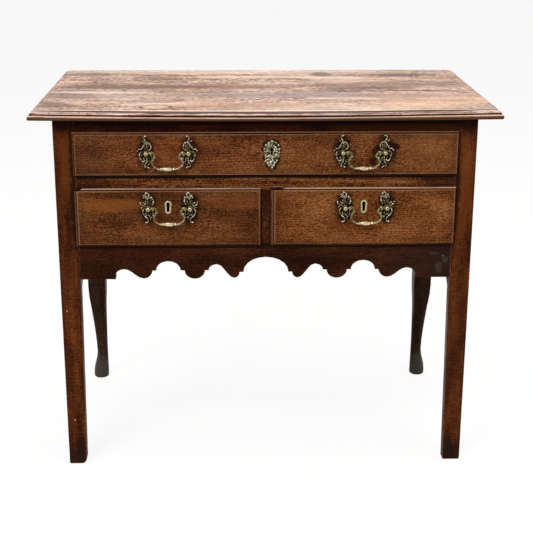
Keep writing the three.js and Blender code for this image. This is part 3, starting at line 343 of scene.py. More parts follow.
def lip_coats(add, patchy, xyz, outline, lip_top_highlight):
    low, high = outline
    to_top = add("Math", (high.z, xyz[2]), operation="SUBTRACT")
    to_foot = add("Math", (xyz[2], low.z), operation="SUBTRACT")
    to_left = add("Math", (xyz[0], low.x), operation="SUBTRACT")
    to_right = add("Math", (high.x, xyz[0]), operation="SUBTRACT")
    to_side = add("Math", (to_left, to_right), operation="MINIMUM")
    to_end = add("Math", (to_foot, to_top), operation="MINIMUM")
    inset = add("Math", (to_side, to_end), operation="MINIMUM")
    # The lip's bands of painted shade and painted highlight, counted in from its edge.
    for near, far, soft, strength, colour in LIP_SHADE_AND_HIGHLIGHT_BANDS:
        yield band(add, patchy, inset, near * MM, far * MM, soft * MM, strength), colour
    # The lip's top face, painted pale as a highlight where it catches the light.
    strength, colour = lip_top_highlight
    yield band(add, patchy, to_top, *(mm * MM for mm in LIP_TOP_HIGHLIGHT_MM), strength), colour


print("A lip has", len(LIP_SHADE_AND_HIGHLIGHT_BANDS) + 1, "stripes")

# %% [markdown]
# ## The oak recipe
# All the oak of the table comes from one recipe: its patterns add up to a shade, a ramp turns the
# shade into five tones, and the coats go over it. The wood is old and waxed, and old wax is crazed
# and dusty. It reflects less than fresh varnish does, and warmer, so its specular level is low and
# its tint brown, while its IOR stays that of wax. The grain stands up a little under the wax.

# %% The oak recipe
TONE_PLACES = (0.22, 0.38, 0.5, 0.64, 0.82)
RAGGED_MM, PATCH_MM, RUBBED_MM = (12, 5), (70, 30), (120, 60)
RELIEF_SHARES = {"clouds": 0.8, "fibres": 0.5, "pores": -0.6}  # of the rings' own height
WAX_IOR, WAX_SHEEN, WAX_TINT = 1.5, 0.12, "#d0a088"
# The pale colour of a lip's top face is a painted highlight.
LIP_TOP_HIGHLIGHT = "#c29c80"


def sunk(add, xyz, sag):
    """The height of a board that has sunk by sag in its middle and risen by it at both ends."""
    depth, half_width = sag
    aside = add("Math", (xyz[0],), operation="ABSOLUTE")
    to_end = add("Math", (aside, half_width), operation="DIVIDE")
    curve = add("Math", (to_end, 2), operation="POWER")
    put_back = add("Math", (curve, -2 * depth, depth), operation="MULTIPLY_ADD")
    return add("Math", (xyz[2], put_back), operation="ADD")


def oak(name, tones, grain="X", across=(0, 0.3, 1), swirl=4, figure=0.08, pores=0.25, fibre=0.35,
        mottle=1.0, mottle_mm=(3.4, 2.0), cloud=0.8, cloud_mm=(120, 40), coarse=1, board=0,
        gloss=(0.4, 0.6), relief_mm=0.2, films=(), stains=(), knots=(), stripes=(), sag=None,
        lip=None, lip_top_highlight=(0.95, LIP_TOP_HIGHLIGHT)):
    """Old finished oak. tones are its pore, dark, middle, light and palest colours. grain is the
    way its fibres run, across the way its rings are counted, swirl how far they bend, and coarse
    how much larger than life its patterns are drawn. figure, pores, fibre, mottle and cloud say how
    much each pattern shows, and board is its place in the log. gloss is the roughness where it is
    rubbed and where it is dull, and relief_mm how far the grain stands up.
    A film has lengths along and across the grain, how much of the wood it leaves bare, a strength
    and a colour. A stain has a place, half sizes, a strength, a colour and, if it is crisp, where
    its outline fades. A knot is a stain with a count of rings and how wide they are. A stripe has
    an axis, two places on it, a softness, a strength and a colour. sag is how far the board sank
    in its middle, and its half width. lip is the outline of a drawer's lip, round which bands of
    painted shade and painted highlight go, and the last argument is the strength and colour of the
    painted highlight on the lip's top face."""
    material, add, shader = new_material(name)
    here = add("TexCoord").outputs["Object"]
    log = place_in_log(add, here, grain, board)
    ring = growth_rings(add, log, across, swirl)
    patterns = {
        "fibres": streaks(add, log, FIBRE_LENGTH_MM * coarse, FIBRE_MM * coarse, 2),
        "mottles": streaks(add, log, mottle_mm[0] * coarse, mottle_mm[1] * coarse, 1),
        "clouds": streaks(add, log, *cloud_mm, 3),
        "pores": filled_pores(add, log, ring, coarse),
    }
    shares = {"fibres": fibre, "mottles": mottle, "clouds": cloud, "pores": -pores}
    middling = 0.5 - (figure + fibre + mottle + cloud) / 2
    shade = add("Math", (ring, figure, middling), operation="MULTIPLY_ADD")
    for pattern, share in shares.items():
        shade = add("Math", (patterns[pattern], share, shade), operation="MULTIPLY_ADD")
    colour = add("ValToRGB", (shade,), list(zip(TONE_PLACES, tones)))

    ragged = streaks(add, log, *RAGGED_MM, 3)
    patchy = add("MapRange", (streaks(add, log, *PATCH_MM, 2), 0.3, 0.6, 0.45, 1), **EASED)
    xyz = list(add("SeparateXYZ", (here,)).outputs)
    if sag:
        xyz[2] = sunk(add, xyz, sag)
    coats = [*film_coats(add, log, films), *stain_coats(add, here, ragged, stains),
             *knot_coats(add, here, ragged, knots), *stripe_coats(add, patchy, xyz, stripes)]
    if lip:
        coats += lip_coats(add, patchy, xyz, lip, lip_top_highlight)
    for cover, paint in coats:
        colour = add("Mix", {0: cover, 6: colour, 7: linear(paint)}, data_type="RGBA").outputs[2]

    rubbed = add("MapRange", (streaks(add, log, *RUBBED_MM, 3), 0.35, 0.65, *gloss), **EASED)
    height = ring
    for pattern, share in RELIEF_SHARES.items():
        height = add("Math", (patterns[pattern], share, height), operation="MULTIPLY_ADD")
    bump = add("Bump", {"Height": height, "Distance": relief_mm * MM, "Strength": 1})
    set_sockets(shader, {"Base Color": colour, "Roughness": rubbed, "Normal": bump, "IOR": WAX_IOR,
                         "Specular IOR Level": WAX_SHEEN, "Specular Tint": linear(WAX_TINT)})
    return material


print("Each finish has", len(TONE_PLACES), "tones of oak")

# %% [markdown]
# ## The tones of this table
# The boards weathered differently. The top has been scrubbed, sunned and set with damp cups, and is
# washed out to a pinkish grey brown, and its tones are paler still as a painted sheen. The drawer
# fronts kept a warm tobacco brown. The legs are redder, and the rails and the apron nearly black
# where polish and dust have built up. The back legs are darker, with grime and as painted shade
# under the table. Inside, nobody ever polished the oak, so it is dry and pale. Each row of tones
# runs from the filled pores to the palest wood.

# %% Choose the tones
DRAWER_TONES = ("#31180c", "#5b3016", "#764324", "#8e5932", "#a97543")
PALER_TONES = ("#3a1a0a", "#653617", "#7c4724", "#935b31", "#ac7346")
DARKER_TONES = ("#2a1207", "#4e2810", "#63371c", "#7b4a29", "#976134")
LEG_TONES = ("#1d0a05", "#3a190b", "#572b13", "#713c1a", "#88502a")
# The back legs' tones are dark with grime and partly as painted shade under the table.
GRIMY_SHADED_REAR_LEG_TONES = ("#170d08", "#281911", "#37241a", "#473023", "#5a4030")
RAIL_TONES = ("#100603", "#291107", "#3a1b0e", "#4c2915", "#6a4024")
TOP_RAIL_TONES = ("#160503", "#2a0d07", "#3e170c", "#522614", "#663820")
DIVIDER_TONES = ("#220c06", "#4a220f", "#66391d", "#82502a", "#9e6c40")
# The top's tones are partly the wood's washed colour and partly a painted sheen, paler than the bare
# wood.
TOP_TONES_WITH_SHEEN = ("#553c34", "#977768", "#c2a08f", "#dfbfae", "#f6e2d2")
MOULDING_TONES = ("#523a30", "#907165", "#b59586", "#d2b4a5", "#e9d1c3")
PANEL_TONES = ("#1c0e08", "#44281a", "#5c3a27", "#775039", "#a06a3c")
LINER_TONES = ("#5b3f26", "#8a6a47", "#a98a63", "#c4a67e", "#d8bc92")
DRAWER_EDGE_TONES = ("#5b361f", "#6b4127", "#845838", "#a17350", "#b98c68")
DARK_EDGE_TONES = ("#2b140b", "#42241a", "#5c3823", "#7a5138", "#946a4c")
SCRUBBED = {"across": (0, 0.35, 0.2), "swirl": 9, "figure": 0.12, "pores": 0.4, "cloud": 0.55,
            "mottle": 0.8, "mottle_mm": (3.8, 2.4), "fibre": 0.7, "cloud_mm": (160, 40), "coarse": 2.1,
            "gloss": (0.35, 0.55),
            "films": [(75, 24, 0.48, 0.35, "#8f8482"), (90, 34, 0.5, 0.3, "#dfb98a"),
                      (110, 6, 0.5, 0.4, "#765848")]}
FILED = {"mottle": 0.3, "mottle_mm": (24, 2.4), "fibre": 0.8, "figure": 0.3, "coarse": 1.4,
         "films": [(60, 22, 0.5, 0.6, "#8a878a")]}
PLAIN = {"figure": 0.24, "swirl": 8, "fibre": 0.6, "pores": 0.4, "cloud": 0.5, "cloud_mm": (200, 22)}
DRY = {"gloss": (0.6, 0.8), "relief_mm": 0.4}
print("The drawer fronts' middle tone is", DRAWER_TONES[2])

# %% [markdown]
# ## Grime and ghosts on the drawers
# Grime darkens the wood round the handles, and painted shade darkens it further between and under
# the strands of the plates. A ring of dirt and painted shade lies round the escutcheon, its keyhole
# is painted black as shade, and painted shade lies in the quirk of each lip. The long drawer shows
# the ghosts of older, larger plates, clearest beside its right handle, where they kept the wax from
# being rubbed. The marks round the handles and the ghosts are placed from the handles' posts, so
# they stay with them. The lips were planed a little out of square, so their stripes run askew.

# %% Stain the drawers
# The dark round the plates is grime and painted shade.
GRIME_AND_SHADE = "#1d0f08"
GHOST, OLD_GHOST = "#21120e", "#27140f"
# Round the escutcheon, dirt and painted shade; in its keyhole, black painted shade.
KEY_DIRT_AND_SHADE, KEYHOLE_SHADOW = "#1a0c06", "#040201"
POST_SPACING = 78.5 * MM
DRAWER_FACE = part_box("upper_drawer_front")[0].y
MARK_DEPTH, FRONT_DEPTH = 20 * MM, 40 * MM  # how far a mark reaches to each side of the face
HANDLES = {
    "upper_left_handle": "upper_drawer",
    "upper_right_handle": "upper_drawer",
    "lower_left_handle": "lower_left_drawer",
    "lower_right_handle": "lower_right_drawer",
}
# Dark marks round each post: grime, and painted shade where the wood lies between and under the
# strands.
PLATE_GRIME_AND_SHADE = [  # out from the post, up, half sizes and strength
    (3, -1, (22, 38), 0.6),
    (0, 8, (19, 27), 0.97),
    (-1, -11, (16, 25), 0.97),
]


def handle_middle(handle):
    """Halfway between the handle's posts, on the drawer's face."""
    axis = Vector(joints[handle + "_swing"]["pos_m"])
    return Vector((axis.x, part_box(HANDLES[handle] + "_front")[0].y, axis.z))


def beside(handle, side, out_mm, up_mm, half_mm, strength, colour=GRIME_AND_SHADE, outline=()):
    """A stain placed from one of a handle's posts, outwards and up."""
    offset = Vector((side * (POST_SPACING / 2 + out_mm * MM), 0, up_mm * MM))
    half = (half_mm[0] * MM, MARK_DEPTH, half_mm[1] * MM)
    return (handle_middle(handle) + offset, half, strength, colour, *outline)


def on_front(x_mm, z_mm, half_x_mm, half_z_mm, strength, colour, *outline):
    """A stain on a drawer front, a rail or a leg."""
    place = Vector((x_mm * MM, DRAWER_FACE, z_mm * MM))
    return (place, (half_x_mm * MM, FRONT_DEPTH, half_z_mm * MM), strength, colour, *outline)


def around_plates(drawer):
    own = [handle for handle in HANDLES if HANDLES[handle] == drawer]
    return [beside(handle, side, *mark) for handle in own for side in (-1, 1) for mark in PLATE_GRIME_AND_SHADE]


ghosts = [
    beside("upper_right_handle", 1, 18, 9, (10, 7), 1.0, GHOST, CRISP_OUTLINE),
    beside("upper_right_handle", 1, 17, -2, (5, 9), 0.85, GHOST, CRISP_OUTLINE),
    beside("upper_right_handle", 1, -16, -1, (7, 14), 0.85, OLD_GHOST, CRISP_OUTLINE),
    beside("upper_right_handle", 1, -22, -19, (6.5, 7), 0.9, OLD_GHOST, CRISP_OUTLINE),
    beside("upper_right_handle", -1, -18, -3, (8, 7), 0.7, OLD_GHOST, CRISP_OUTLINE),
    beside("upper_left_handle", 1, 17, 4, (9, 16), 0.5, "#2c150e"),
]
# A ring of dirt and painted shade round the egg plate, and black painted shade in its keyhole.
keyhole_grime_and_shade = [
    on_front(10, 648.5, 18, 20, 0.95, KEY_DIRT_AND_SHADE, *CRISP_OUTLINE),
    on_front(10, 632, 15.5, 25.5, 0.95, KEY_DIRT_AND_SHADE, *CRISP_OUTLINE),
    on_front(10, 641, 8, 14, 1.0, KEYHOLE_SHADOW, *CRISP_OUTLINE),
]
drawer_stains = {
    "upper_drawer": ghosts + [on_front(-345, 620, 60, 60, 0.5, "#45291b"),
                              on_front(-180, 640, 70, 44, 0.35, "#6b2c14"),
                              on_front(330, 640, 90, 60, 0.35, "#80522b")] + keyhole_grime_and_shade,
    "lower_left_drawer": [on_front(-290, 541, 100, 14, 0.6, "#8a4f22"),
                          on_front(-60, 545, 70, 16, 0.3, "#7c4420")],
    "lower_right_drawer": [on_front(347.5, 475, 3.2, 3.2, 0.9, "#1a0a06")],
}
DRAWER_FINISHES = {  # board, tones and the painted highlight on the lip's top face
    "upper_drawer": (2, DRAWER_TONES, (0.9, "#94705a")),
    "lower_left_drawer": (4, DARKER_TONES, (0.9, "#ad9080")),
    "lower_right_drawer": (6, PALER_TONES, (0.95, LIP_TOP_HIGHLIGHT)),
}
LIP_ASKEW_MM = {  # how far right its left side, out its right side and down its foot were planed
    "upper_drawer": (0, 2.2, 1.9),
    "lower_left_drawer": (1.2, 1.8, 0),
    "lower_right_drawer": (2.2, 1.8, 0),
}
oaks = {}
for drawer, (board, tones, lip_top_highlight) in DRAWER_FINISHES.items():
    low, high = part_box(drawer + "_front")
    left, right, foot = LIP_ASKEW_MM[drawer]
    outline = (low + Vector((left, 0, -foot)) * MM, high + Vector((right, 0, 0)) * MM)
    oaks[drawer] = oak("oak_waxed_" + drawer, tones, board=board, swirl=7, pores=0.2, lip=outline,
                       stains=around_plates(drawer) + drawer_stains[drawer], lip_top_highlight=lip_top_highlight)
print(len(oaks), "drawer fronts, the long one with", len(ghosts), "ghosts of older plates")

# %% [markdown]
# ## The scrubbed top
# Cups, lamps and elbows have left their marks on the top: grey and brown clouds where water stood,
# pale ones where it was scrubbed, dirt in the joint of its two boards, and two knots whose rings
# show. Along its front runs a moulding. Its top edge is rubbed pale, its steps and the underside of
# its nose are darkened as painted shade, and its lower bead is lit as a painted highlight. The front
# edge has sunk a little in the middle, and the moulding's lines sink with it.

# %% Mark the top
TOP_LOW, TOP_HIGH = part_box("top_board_front")
TOP_LEVEL = TOP_HIGH.z
BOARD_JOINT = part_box("top_board_rear")[0].y
BOW = (2.2 * MM, TOP_HIGH.x)  # how far the front edge has sunk in the middle, and its half width
Y, Z = 1, 2


def on_top(x_mm, y_mm, half_x_mm, half_y_mm, strength, colour):
    """A mark on the top's face."""
    place = Vector((x_mm * MM, y_mm * MM, TOP_LEVEL))
    return (place, (half_x_mm * MM, half_y_mm * MM, MARK_DEPTH), strength, colour)


def below_top(from_mm, to_mm, soft_mm, strength, colour):
    """A level line, told by how far it lies below the top's face."""
    return (Z, TOP_LEVEL - to_mm * MM, TOP_LEVEL - from_mm * MM, soft_mm * MM, strength, colour)


smudges = [
    on_top(-60, 228, 430, 44, 0.45, "#efd8c0"),
    on_top(150, -205, 330, 56, 0.25, "#f6d8ba"),
    on_top(330, -130, 170, 110, 0.35, "#e8b892"),
    on_top(-372, 190, 64, 30, 0.6, "#85736a"),
    on_top(-290, 24, 170, 40, 0.7, "#68503f"),
    on_top(-90, 20, 210, 40, 0.6, "#7b5a4d"),
    on_top(-372, -81, 70, 50, 0.6, "#7b6a60"),
    on_top(-240, -90, 130, 40, 0.35, "#9c8f88"),
    on_top(-410, -180, 56, 46, 0.6, "#786459"),
    on_top(-203, 130, 60, 46, 0.45, "#6d5346"),
    on_top(-20, 150, 220, 24, 0.55, "#e6cdb6"),
    on_top(150, 138, 90, 34, 0.55, "#ecd4bd"),
    on_top(170, 90, 110, 26, 0.5, "#dcbdab"),
    on_top(-315, -42, 120, 22, 0.65, "#e2d1c6"),
    on_top(150, -112, 90, 22, 0.5, "#e8cbb8"),
    on_top(-190, -178, 90, 24, 0.6, "#ecd2bb"),
    on_top(30, -75, 220, 44, 0.55, "#8a8084"),
    on_top(-60, -190, 190, 30, 0.5, "#a97a5e"),
    on_top(-205, -204, 24, 16, 0.3, "#ecd0a6"),
    on_top(131, 190, 30, 40, 0.75, "#6f6259"),
    on_top(90, 109, 22, 14, 0.6, "#7c6d68"),
    on_top(165, 18, 80, 40, 0.6, "#6d5a55"),
    on_top(309, 180, 80, 30, 0.65, "#63514a"),
    on_top(290, 60, 150, 50, 0.4, "#7f6358"),
    on_top(262, 10, 80, 26, 0.65, "#65504a"),
    on_top(280, -92, 190, 30, 0.35, "#8a7a7c"),
    on_top(250, -32, 240, 6, 1.2, "#4a362c"),
]
knots = [
    (*on_top(-203, 132, 50, 56, 0.5, "#5f463a"), 4, 0.3),
    (*on_top(-203, 134, 68, 60, 0.5, "#6b5040"), 1, 0.14),
    (*on_top(-205, -204, 31, 24, 0.75, "#5d4033"), 1, 0.17),
]
joint_line = (Y, BOARD_JOINT - 2.5 * MM, BOARD_JOINT + 2.5 * MM, 0.6 * MM, 0.7, "#574038")
cream_line = (Y, TOP_LOW.y + 11.2 * MM, TOP_LOW.y + 17.4 * MM, 0.6 * MM, 0.85, "#ecd6c5")
moulding_shade_and_highlights = [  # its rubbed top edge, its steps and nose darkened as painted shade, and its bead as a painted highlight, from the top down
    cream_line,
    below_top(1.1, 3.4, 0.4, 1.8, "#5c4a42"),
    below_top(7.6, 10.1, 0.4, 2.6, "#1c0d08"),
    below_top(10.2, 12.0, 0.3, 0.8, "#c9a48c"),
    below_top(12.6, 24.0, 0.5, 2.2, "#62402a"),
]
oaks["top_front"] = oak("oak_washed_front_board", TOP_TONES_WITH_SHEEN, board=1, stains=smudges, knots=knots,
                        stripes=[cream_line, joint_line], **SCRUBBED)
oaks["top_rear"] = oak("oak_washed_rear_board", TOP_TONES_WITH_SHEEN, board=8, stains=smudges, knots=knots,
                       stripes=[joint_line], **SCRUBBED)
print("The top has", len(smudges), "smudges and", len(knots), "rings of knots")

# %% [markdown]
# ## The legs, rails and linings
# The front legs are worn pale and red where hands and knees pass. Both ends are dark: the feet with
# dirt, the tops with the painted shadow of the top's overhang, and a strip of each beside the drawers
# is darkened with grime and painted shade. Dust lies on the back feet. The top rail under the top is
# painted black as the shadow of its overhang. Painted shadow lies where a drawer's lip meets the
# frame, with a faint painted highlight line in it, and smoke has greyed the right end of the apron.
# Where slivers have split off the short drawers' lips, the frame behind them is painted black as
# shade, with the lip's pale rim painted above one of them, and the divider darkens towards both ends.

# %% Mix the other oak finishes
# The fourth and fifth colours are painted shade: the shadow under a drawer's lip and the shade behind a
# split lip.
SPECK, SMOKE, GREY_SMUDGE, LIP_SHADOW, CHIP_SHADOW = "#cfc6b8", "#33211f", "#6b625b", "#100503", "#060202"
leg_grime_and_shade = [
    on_front(372, 560, 26, 130, 0.5, "#7a4119"),
    on_front(376, 240, 30, 210, 0.3, "#452414"),
    on_front(-372, 620, 16, 80, 0.5, "#733a17"),
    on_front(-389, 560, 12, 130, 0.4, "#33170f"),
    on_front(-380, 97, 1.8, 2.2, 0.8, SPECK),
    on_front(-385, 328, 1.6, 2.0, 0.7, SPECK),
]
foot_dust = []
for side in (-1, 1):
    # Beside the drawers, grime and painted shade; at the top, painted shadow of the top's overhang; at
    # the foot, dirt.
    leg_grime_and_shade += [on_front(side * 356, 570, 15, 190, 0.9, "#1c0c08"),
                  on_front(side * 375, 712, 60, 42, 0.85, "#1a0805"),
                  on_front(side * 375, 0, 60, 60, 0.75, "#231710")]
    foot_dust.append((Vector((side * 375, 220, 0)) * MM, Vector((70, 70, 75)) * MM, 0.75, "#5a564c"))
smoke = [
    on_front(310, 430, 110, 50, 0.4, SMOKE),
    on_front(345, 425, 40, 46, 0.5, "#231a1b"),
    on_front(334, 412, 9, 14, 0.22, GREY_SMUDGE),
    on_front(345, 428, 7, 9, 0.2, GREY_SMUDGE),
    on_front(324, 440, 12, 4, 0.2, GREY_SMUDGE),
    on_front(341, 435, 2.4, 2.0, 0.5, "#857a70"),
]
# Darker towards both ends of the divider; behind the chips, painted shade, and above one of them the
# lip's pale rim painted as a highlight.
dark_ends_and_chip_shade = [on_front(side * 345, 580, 70, 40, 0.7, "#261008") for side in (-1, 1)] + [
    on_front(26, 568.8, 13, 2.8, 1.0, CHIP_SHADOW, *CRISP_OUTLINE),
    on_front(21, 573.4, 13, 1.0, 0.85, "#8f6c54", *CRISP_OUTLINE),
    on_front(-350, 569.5, 6, 2.8, 1.0, CHIP_SHADOW, *CRISP_OUTLINE),
]


def shadow_under_lips(front, shadow_mm, light_mm, strength, light):
    """Painted shadow from so many millimetres below a drawer front's foot upwards, with a faint paler
    line in it that is a painted highlight of the lip's rim.
    """
    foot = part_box(front)[0].z
    return [(Z, foot - shadow_mm * MM, foot + 9 * MM, 0.4 * MM, 1.8, LIP_SHADOW),
            (Z, foot - light_mm * MM, foot - (light_mm - 1.6) * MM, 0.3 * MM, strength, light)]


oaks |= {
    "leg": oak("oak_waxed_legs", LEG_TONES, grain="Z", across=(0, 0.6, 1), board=1, fibre=0.2,
               mottle=0.4, mottle_mm=(2.2, 14), cloud=0.9, cloud_mm=(120, 18), stains=leg_grime_and_shade),
    "rear_leg": oak("oak_grimy_and_shaded_rear_legs", GRIMY_SHADED_REAR_LEG_TONES, grain="Z", board=3, stains=foot_dust),
    "rail": oak("oak_smoked_top_rail_with_painted_shadow", TOP_RAIL_TONES, board=3, cloud=1.3, mottle=0.5,
                stains=[on_front(300, 684, 190, 20, 0.6, "#54270f")],
                # The black band just under the top is painted shadow of its overhang.
                stripes=[below_top(11.5, 31.5, 2, 1.4, "#0c0302")]),
    "divider": oak("oak_waxed_divider", DIVIDER_TONES, board=6, cloud=0.9, cloud_mm=(110, 9), swirl=8,
                   stains=dark_ends_and_chip_shade,
                   # Painted shadow under the long drawer's lip.
                   stripes=shadow_under_lips("upper_drawer_front", 5.8, 3.8, 0.6, "#4f3428")),
    "muntin": oak("oak_waxed_muntin", RAIL_TONES, grain="Z", board=5),
    "apron": oak("oak_smoked_apron", RAIL_TONES, board=7, swirl=6, mottle=0.5, stains=smoke,
                 # Painted shadow under the short drawers' lips.
                 stripes=shadow_under_lips("lower_left_drawer_front", 5.4, 3.6, 0.5, "#4a3026")),
    "side": oak("oak_dull_side_panels", PANEL_TONES, grain="Y", board=2, gloss=(0.5, 0.58), **PLAIN),
    "back": oak("oak_sawn_back_board", PANEL_TONES, board=9, gloss=(0.6, 0.8), relief_mm=0.5, **PLAIN),
    "lining": oak("oak_dry_linings", LINER_TONES, grain="Y", **DRY),
    "lining_across": oak("oak_dry_linings_across", LINER_TONES, **DRY),
}
edges = {
    "drawer": oak("oak_rubbed_drawer_edges", DRAWER_EDGE_TONES),
    "dark": oak("oak_rubbed_dark_edges", DARK_EDGE_TONES),
    # The moulding's lines are painted shade and painted highlight over the rubbed edges.
    "top": oak("oak_rubbed_moulding_with_painted_shade", MOULDING_TONES, **FILED, stripes=moulding_shade_and_highlights, sag=BOW),
    "top_end": oak("oak_rubbed_moulding_ends", MOULDING_TONES, **FILED),
    "pale": oak("oak_rubbed_lining_edges", LINER_TONES, grain="Y", gloss=DRY["gloss"]),
}
print(len(oaks), "oak finishes and", len(edges), "for rubbed edges")

# %% [markdown]
# ## Worn boards
# A new board has sharp arrises, and an old one has none: use rounds them, and broken bits leave
# them uneven. Each board of the frame is copied, its triangles are melted back into flat faces, its
# outer corners are rounded, and the rounding gets the lighter finish of rubbed wood. Then the
# board is sliced every few millimetres along its grain, and a slow noise pushes the slices in and
# out by a tenth of a millimetre or two, most of all on the rounded corners, so light runs along an
# edge as unevenly as on the real one.

# %% Copy a board and wear it
SHARP_ANGLE, FLAT_ANGLE, CREASE_ANGLE = (math.radians(a) for a in (33, 0.6, 50))
SAME_POINT = 0.01 * MM
WEAR_MM = 26  # length of one dip along an edge
FACE, EDGE = 0, 1  # a board's two finishes


def link_new(name, mesh):
    piece = bpy.data.objects.new(name, mesh)
    bpy.context.scene.collection.objects.link(piece)
    return piece


def melted(node):
    """The node's mesh with its triangles joined into flat faces."""
    work = bmesh.new()
    work.from_mesh(nodes[node].data)
    bmesh.ops.remove_doubles(work, verts=work.verts, dist=SAME_POINT)
    bmesh.ops.dissolve_limit(work, angle_limit=FLAT_ANGLE, verts=work.verts, edges=work.edges)
    return work


def round_corners(work, size_mm):
    sharp = [e for e in work.edges if e.is_convex and e.calc_face_angle(0) > SHARP_ANGLE]
    for face in work.faces:
        face.material_index = FACE
    bmesh.ops.bevel(work, geom=sharp, offset=size_mm * MM, offset_type="OFFSET", segments=2,
                    profile=0.5, affect="EDGES", clamp_overlap=False, material=EDGE)


def slice_along(work, axis, step_mm):
    normal = Vector((axis == "X", axis == "Y", axis == "Z"))
    reach = [v.co.dot(normal) for v in work.verts]
    count = int((max(reach) - min(reach)) / (step_mm * MM))
    for k in range(1, count):
        place = normal * (min(reach) + (max(reach) - min(reach)) * k / count)
        everything = work.verts[:] + work.edges[:] + work.faces[:]
        bmesh.ops.bisect_plane(work, geom=everything, plane_co=place, plane_no=normal)


def wear(work, waver_mm, rub_mm):
    """Moves points along their normals: all a little, those on rounded corners inwards."""
    work.normal_update()
    moves = []
    for v in work.verts:
        corner = any(f.material_index == EDGE for f in v.link_faces)
        slow = noise.noise(v.co / (WEAR_MM * MM))
        quick = noise.noise(v.co / (WEAR_MM * MM / 4))
        rub = max(0, slow + quick / 2) * rub_mm if corner else 0
        moves.append(v.normal * MM * (waver_mm * slow - rub))
    for v, move in zip(work.verts, moves):
        v.co += move


def finish_board(work, node, finish, edge, body, slot):
    mesh = bpy.data.meshes.new(node + "_worn")
    work.to_mesh(mesh)
    work.free()
    mesh.materials.append(finish)
    mesh.materials.append(edge)
    mesh.shade_smooth()
    mesh.set_sharp_from_angle(angle=CREASE_ANGLE)
    piece = link_new(node + "_worn", mesh)
    piece.modifiers.new("even_faces", "WEIGHTED_NORMAL").keep_sharp = True
    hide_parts(node)
    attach(piece, body)
    return piece


def worn_board(node, finish, edge, body, slot, round_mm, axis, step_mm=14, waver_mm=0.1, rub_mm=0.4):
    work = melted(node)
    round_corners(work, round_mm)
    slice_along(work, axis, step_mm)
    wear(work, waver_mm, rub_mm)
    return finish_board(work, node, oaks[finish], edges[edge], body, slot)


print("An edge dips every", WEAR_MM, "mm or so")

# %% [markdown]
# ## The carcass
# Every fixed board is worn in the same way, with more rounding where knees, hands and brooms
# reach. On the top, the faces are told apart by where they lie: the moulded edge along the front
# takes the finish with the moulding's lines, its other edges one without them, and the underside
# is left as it was sawn. Last, the front edge sinks in the middle.

# %% Wear the carcass
CARCASS = [  # node, finish, edge, slot, rounding in millimetres and grain
    ("top_board_front", "top_front", "top", "top_oak", 0.9, "X"),
    ("top_board_rear", "top_rear", "top", "top_oak", 0.9, "X"),
    ("front_leg_left", "leg", "dark", "leg_oak", 1.1, "Z"),
    ("front_leg_right", "leg", "dark", "leg_oak", 1.1, "Z"),
    ("rear_leg_left", "rear_leg", "dark", "leg_oak", 1.0, "Z"),
    ("rear_leg_right", "rear_leg", "dark", "leg_oak", 1.0, "Z"),
    ("top_rail", "rail", "dark", "rail_oak", 0.5, "X"),
    ("divider_rail", "divider", "dark", "rail_oak", 0.6, "X"),
    ("muntin", "muntin", "dark", "rail_oak", 0.5, "Z"),
    ("apron", "apron", "dark", "rail_oak", 0.8, "X"),
    ("side_panel_left", "side", "dark", "panel_oak", 0.7, "Y"),
    ("side_panel_right", "side", "dark", "panel_oak", 0.7, "Y"),
    ("back_panel", "back", "dark", "panel_oak", 0.7, "X"),
]
BEARERS = ["upper_bearer_left", "lower_bearer_left", "kicker_left",
           "upper_bearer_right", "lower_bearer_right", "kicker_right", "lower_bearer_centre"]
BACK_EDGE, UNDERSIDE = 2, 3  # the top boards' further finishes
TOP_EDGE_MM, TOP_UNDERSIDE_MM = 0.8, 16.7  # how far down the moulded edge starts and ends
LEG_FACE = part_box("front_leg_left")[0].y
FLAT_FRONT = LEG_FACE - 22 * MM

for node, finish, edge, slot, round_mm, axis in CARCASS:
    worn_board(node, finish, edge, "carcass", slot, round_mm, axis)
for node in BEARERS:
    worn_board(node, "lining", "pale", "carcass", "liner_oak", round_mm=0.5, axis="Y")
for board in ("top_board_front_worn", "top_board_rear_worn"):
    mesh = bpy.data.objects[board].data
    mesh.materials.append(edges["top_end"])
    mesh.materials.append(oaks["back"])
    for face in mesh.polygons:
        _, y, z = face.center
        if z < TOP_LEVEL - TOP_UNDERSIDE_MM * MM:
            face.material_index = UNDERSIDE
        elif face.material_index == EDGE or z < TOP_LEVEL - TOP_EDGE_MM * MM:
            face.material_index = EDGE if y < FLAT_FRONT else BACK_EDGE
deepest, half_width = BOW
for v in bpy.data.objects["top_board_front_worn"].data.vertices:
    if v.co.y < LEG_FACE - 1 * MM:
        v.co.z -= deepest * (1 - (v.co.x / half_width) ** 2)
print(len(CARCASS) + len(BEARERS), "boards of the carcass worn")

# %% [markdown]
# ## The drawers
# A drawer front is lipped, with a small thumb moulding round a flat field. The lips take the
# knocks when a drawer is pushed home crooked, and on both short drawers a sliver has split off the
# top left corner. A sliver is a thin wedge that follows the grain, so each is cut with a wedge by
# a boolean, which leaves a neat break with its own finish, painted black as shade.

# %% Wear the drawer fronts and split their lips
CHIPS_MM = {"lower_left_drawer": (17, 3.3), "lower_right_drawer": (32, 3.6)}  # length and height
CHIP_TURN_SHARES = (0.5, 0.2)  # where the split turns upwards, along its length and up its height
LIP_DEPTH, OVERRUN = 9.5 * MM, 1 * MM

# The cut face of a chip is painted black as shade.
shaded_break, _, shader = new_material("oak_break_painted_shade")
set_sockets(shader, {"Base Color": linear("#0c0503"), "Roughness": 0.9,
                     "Specular IOR Level": WAX_SHEEN})


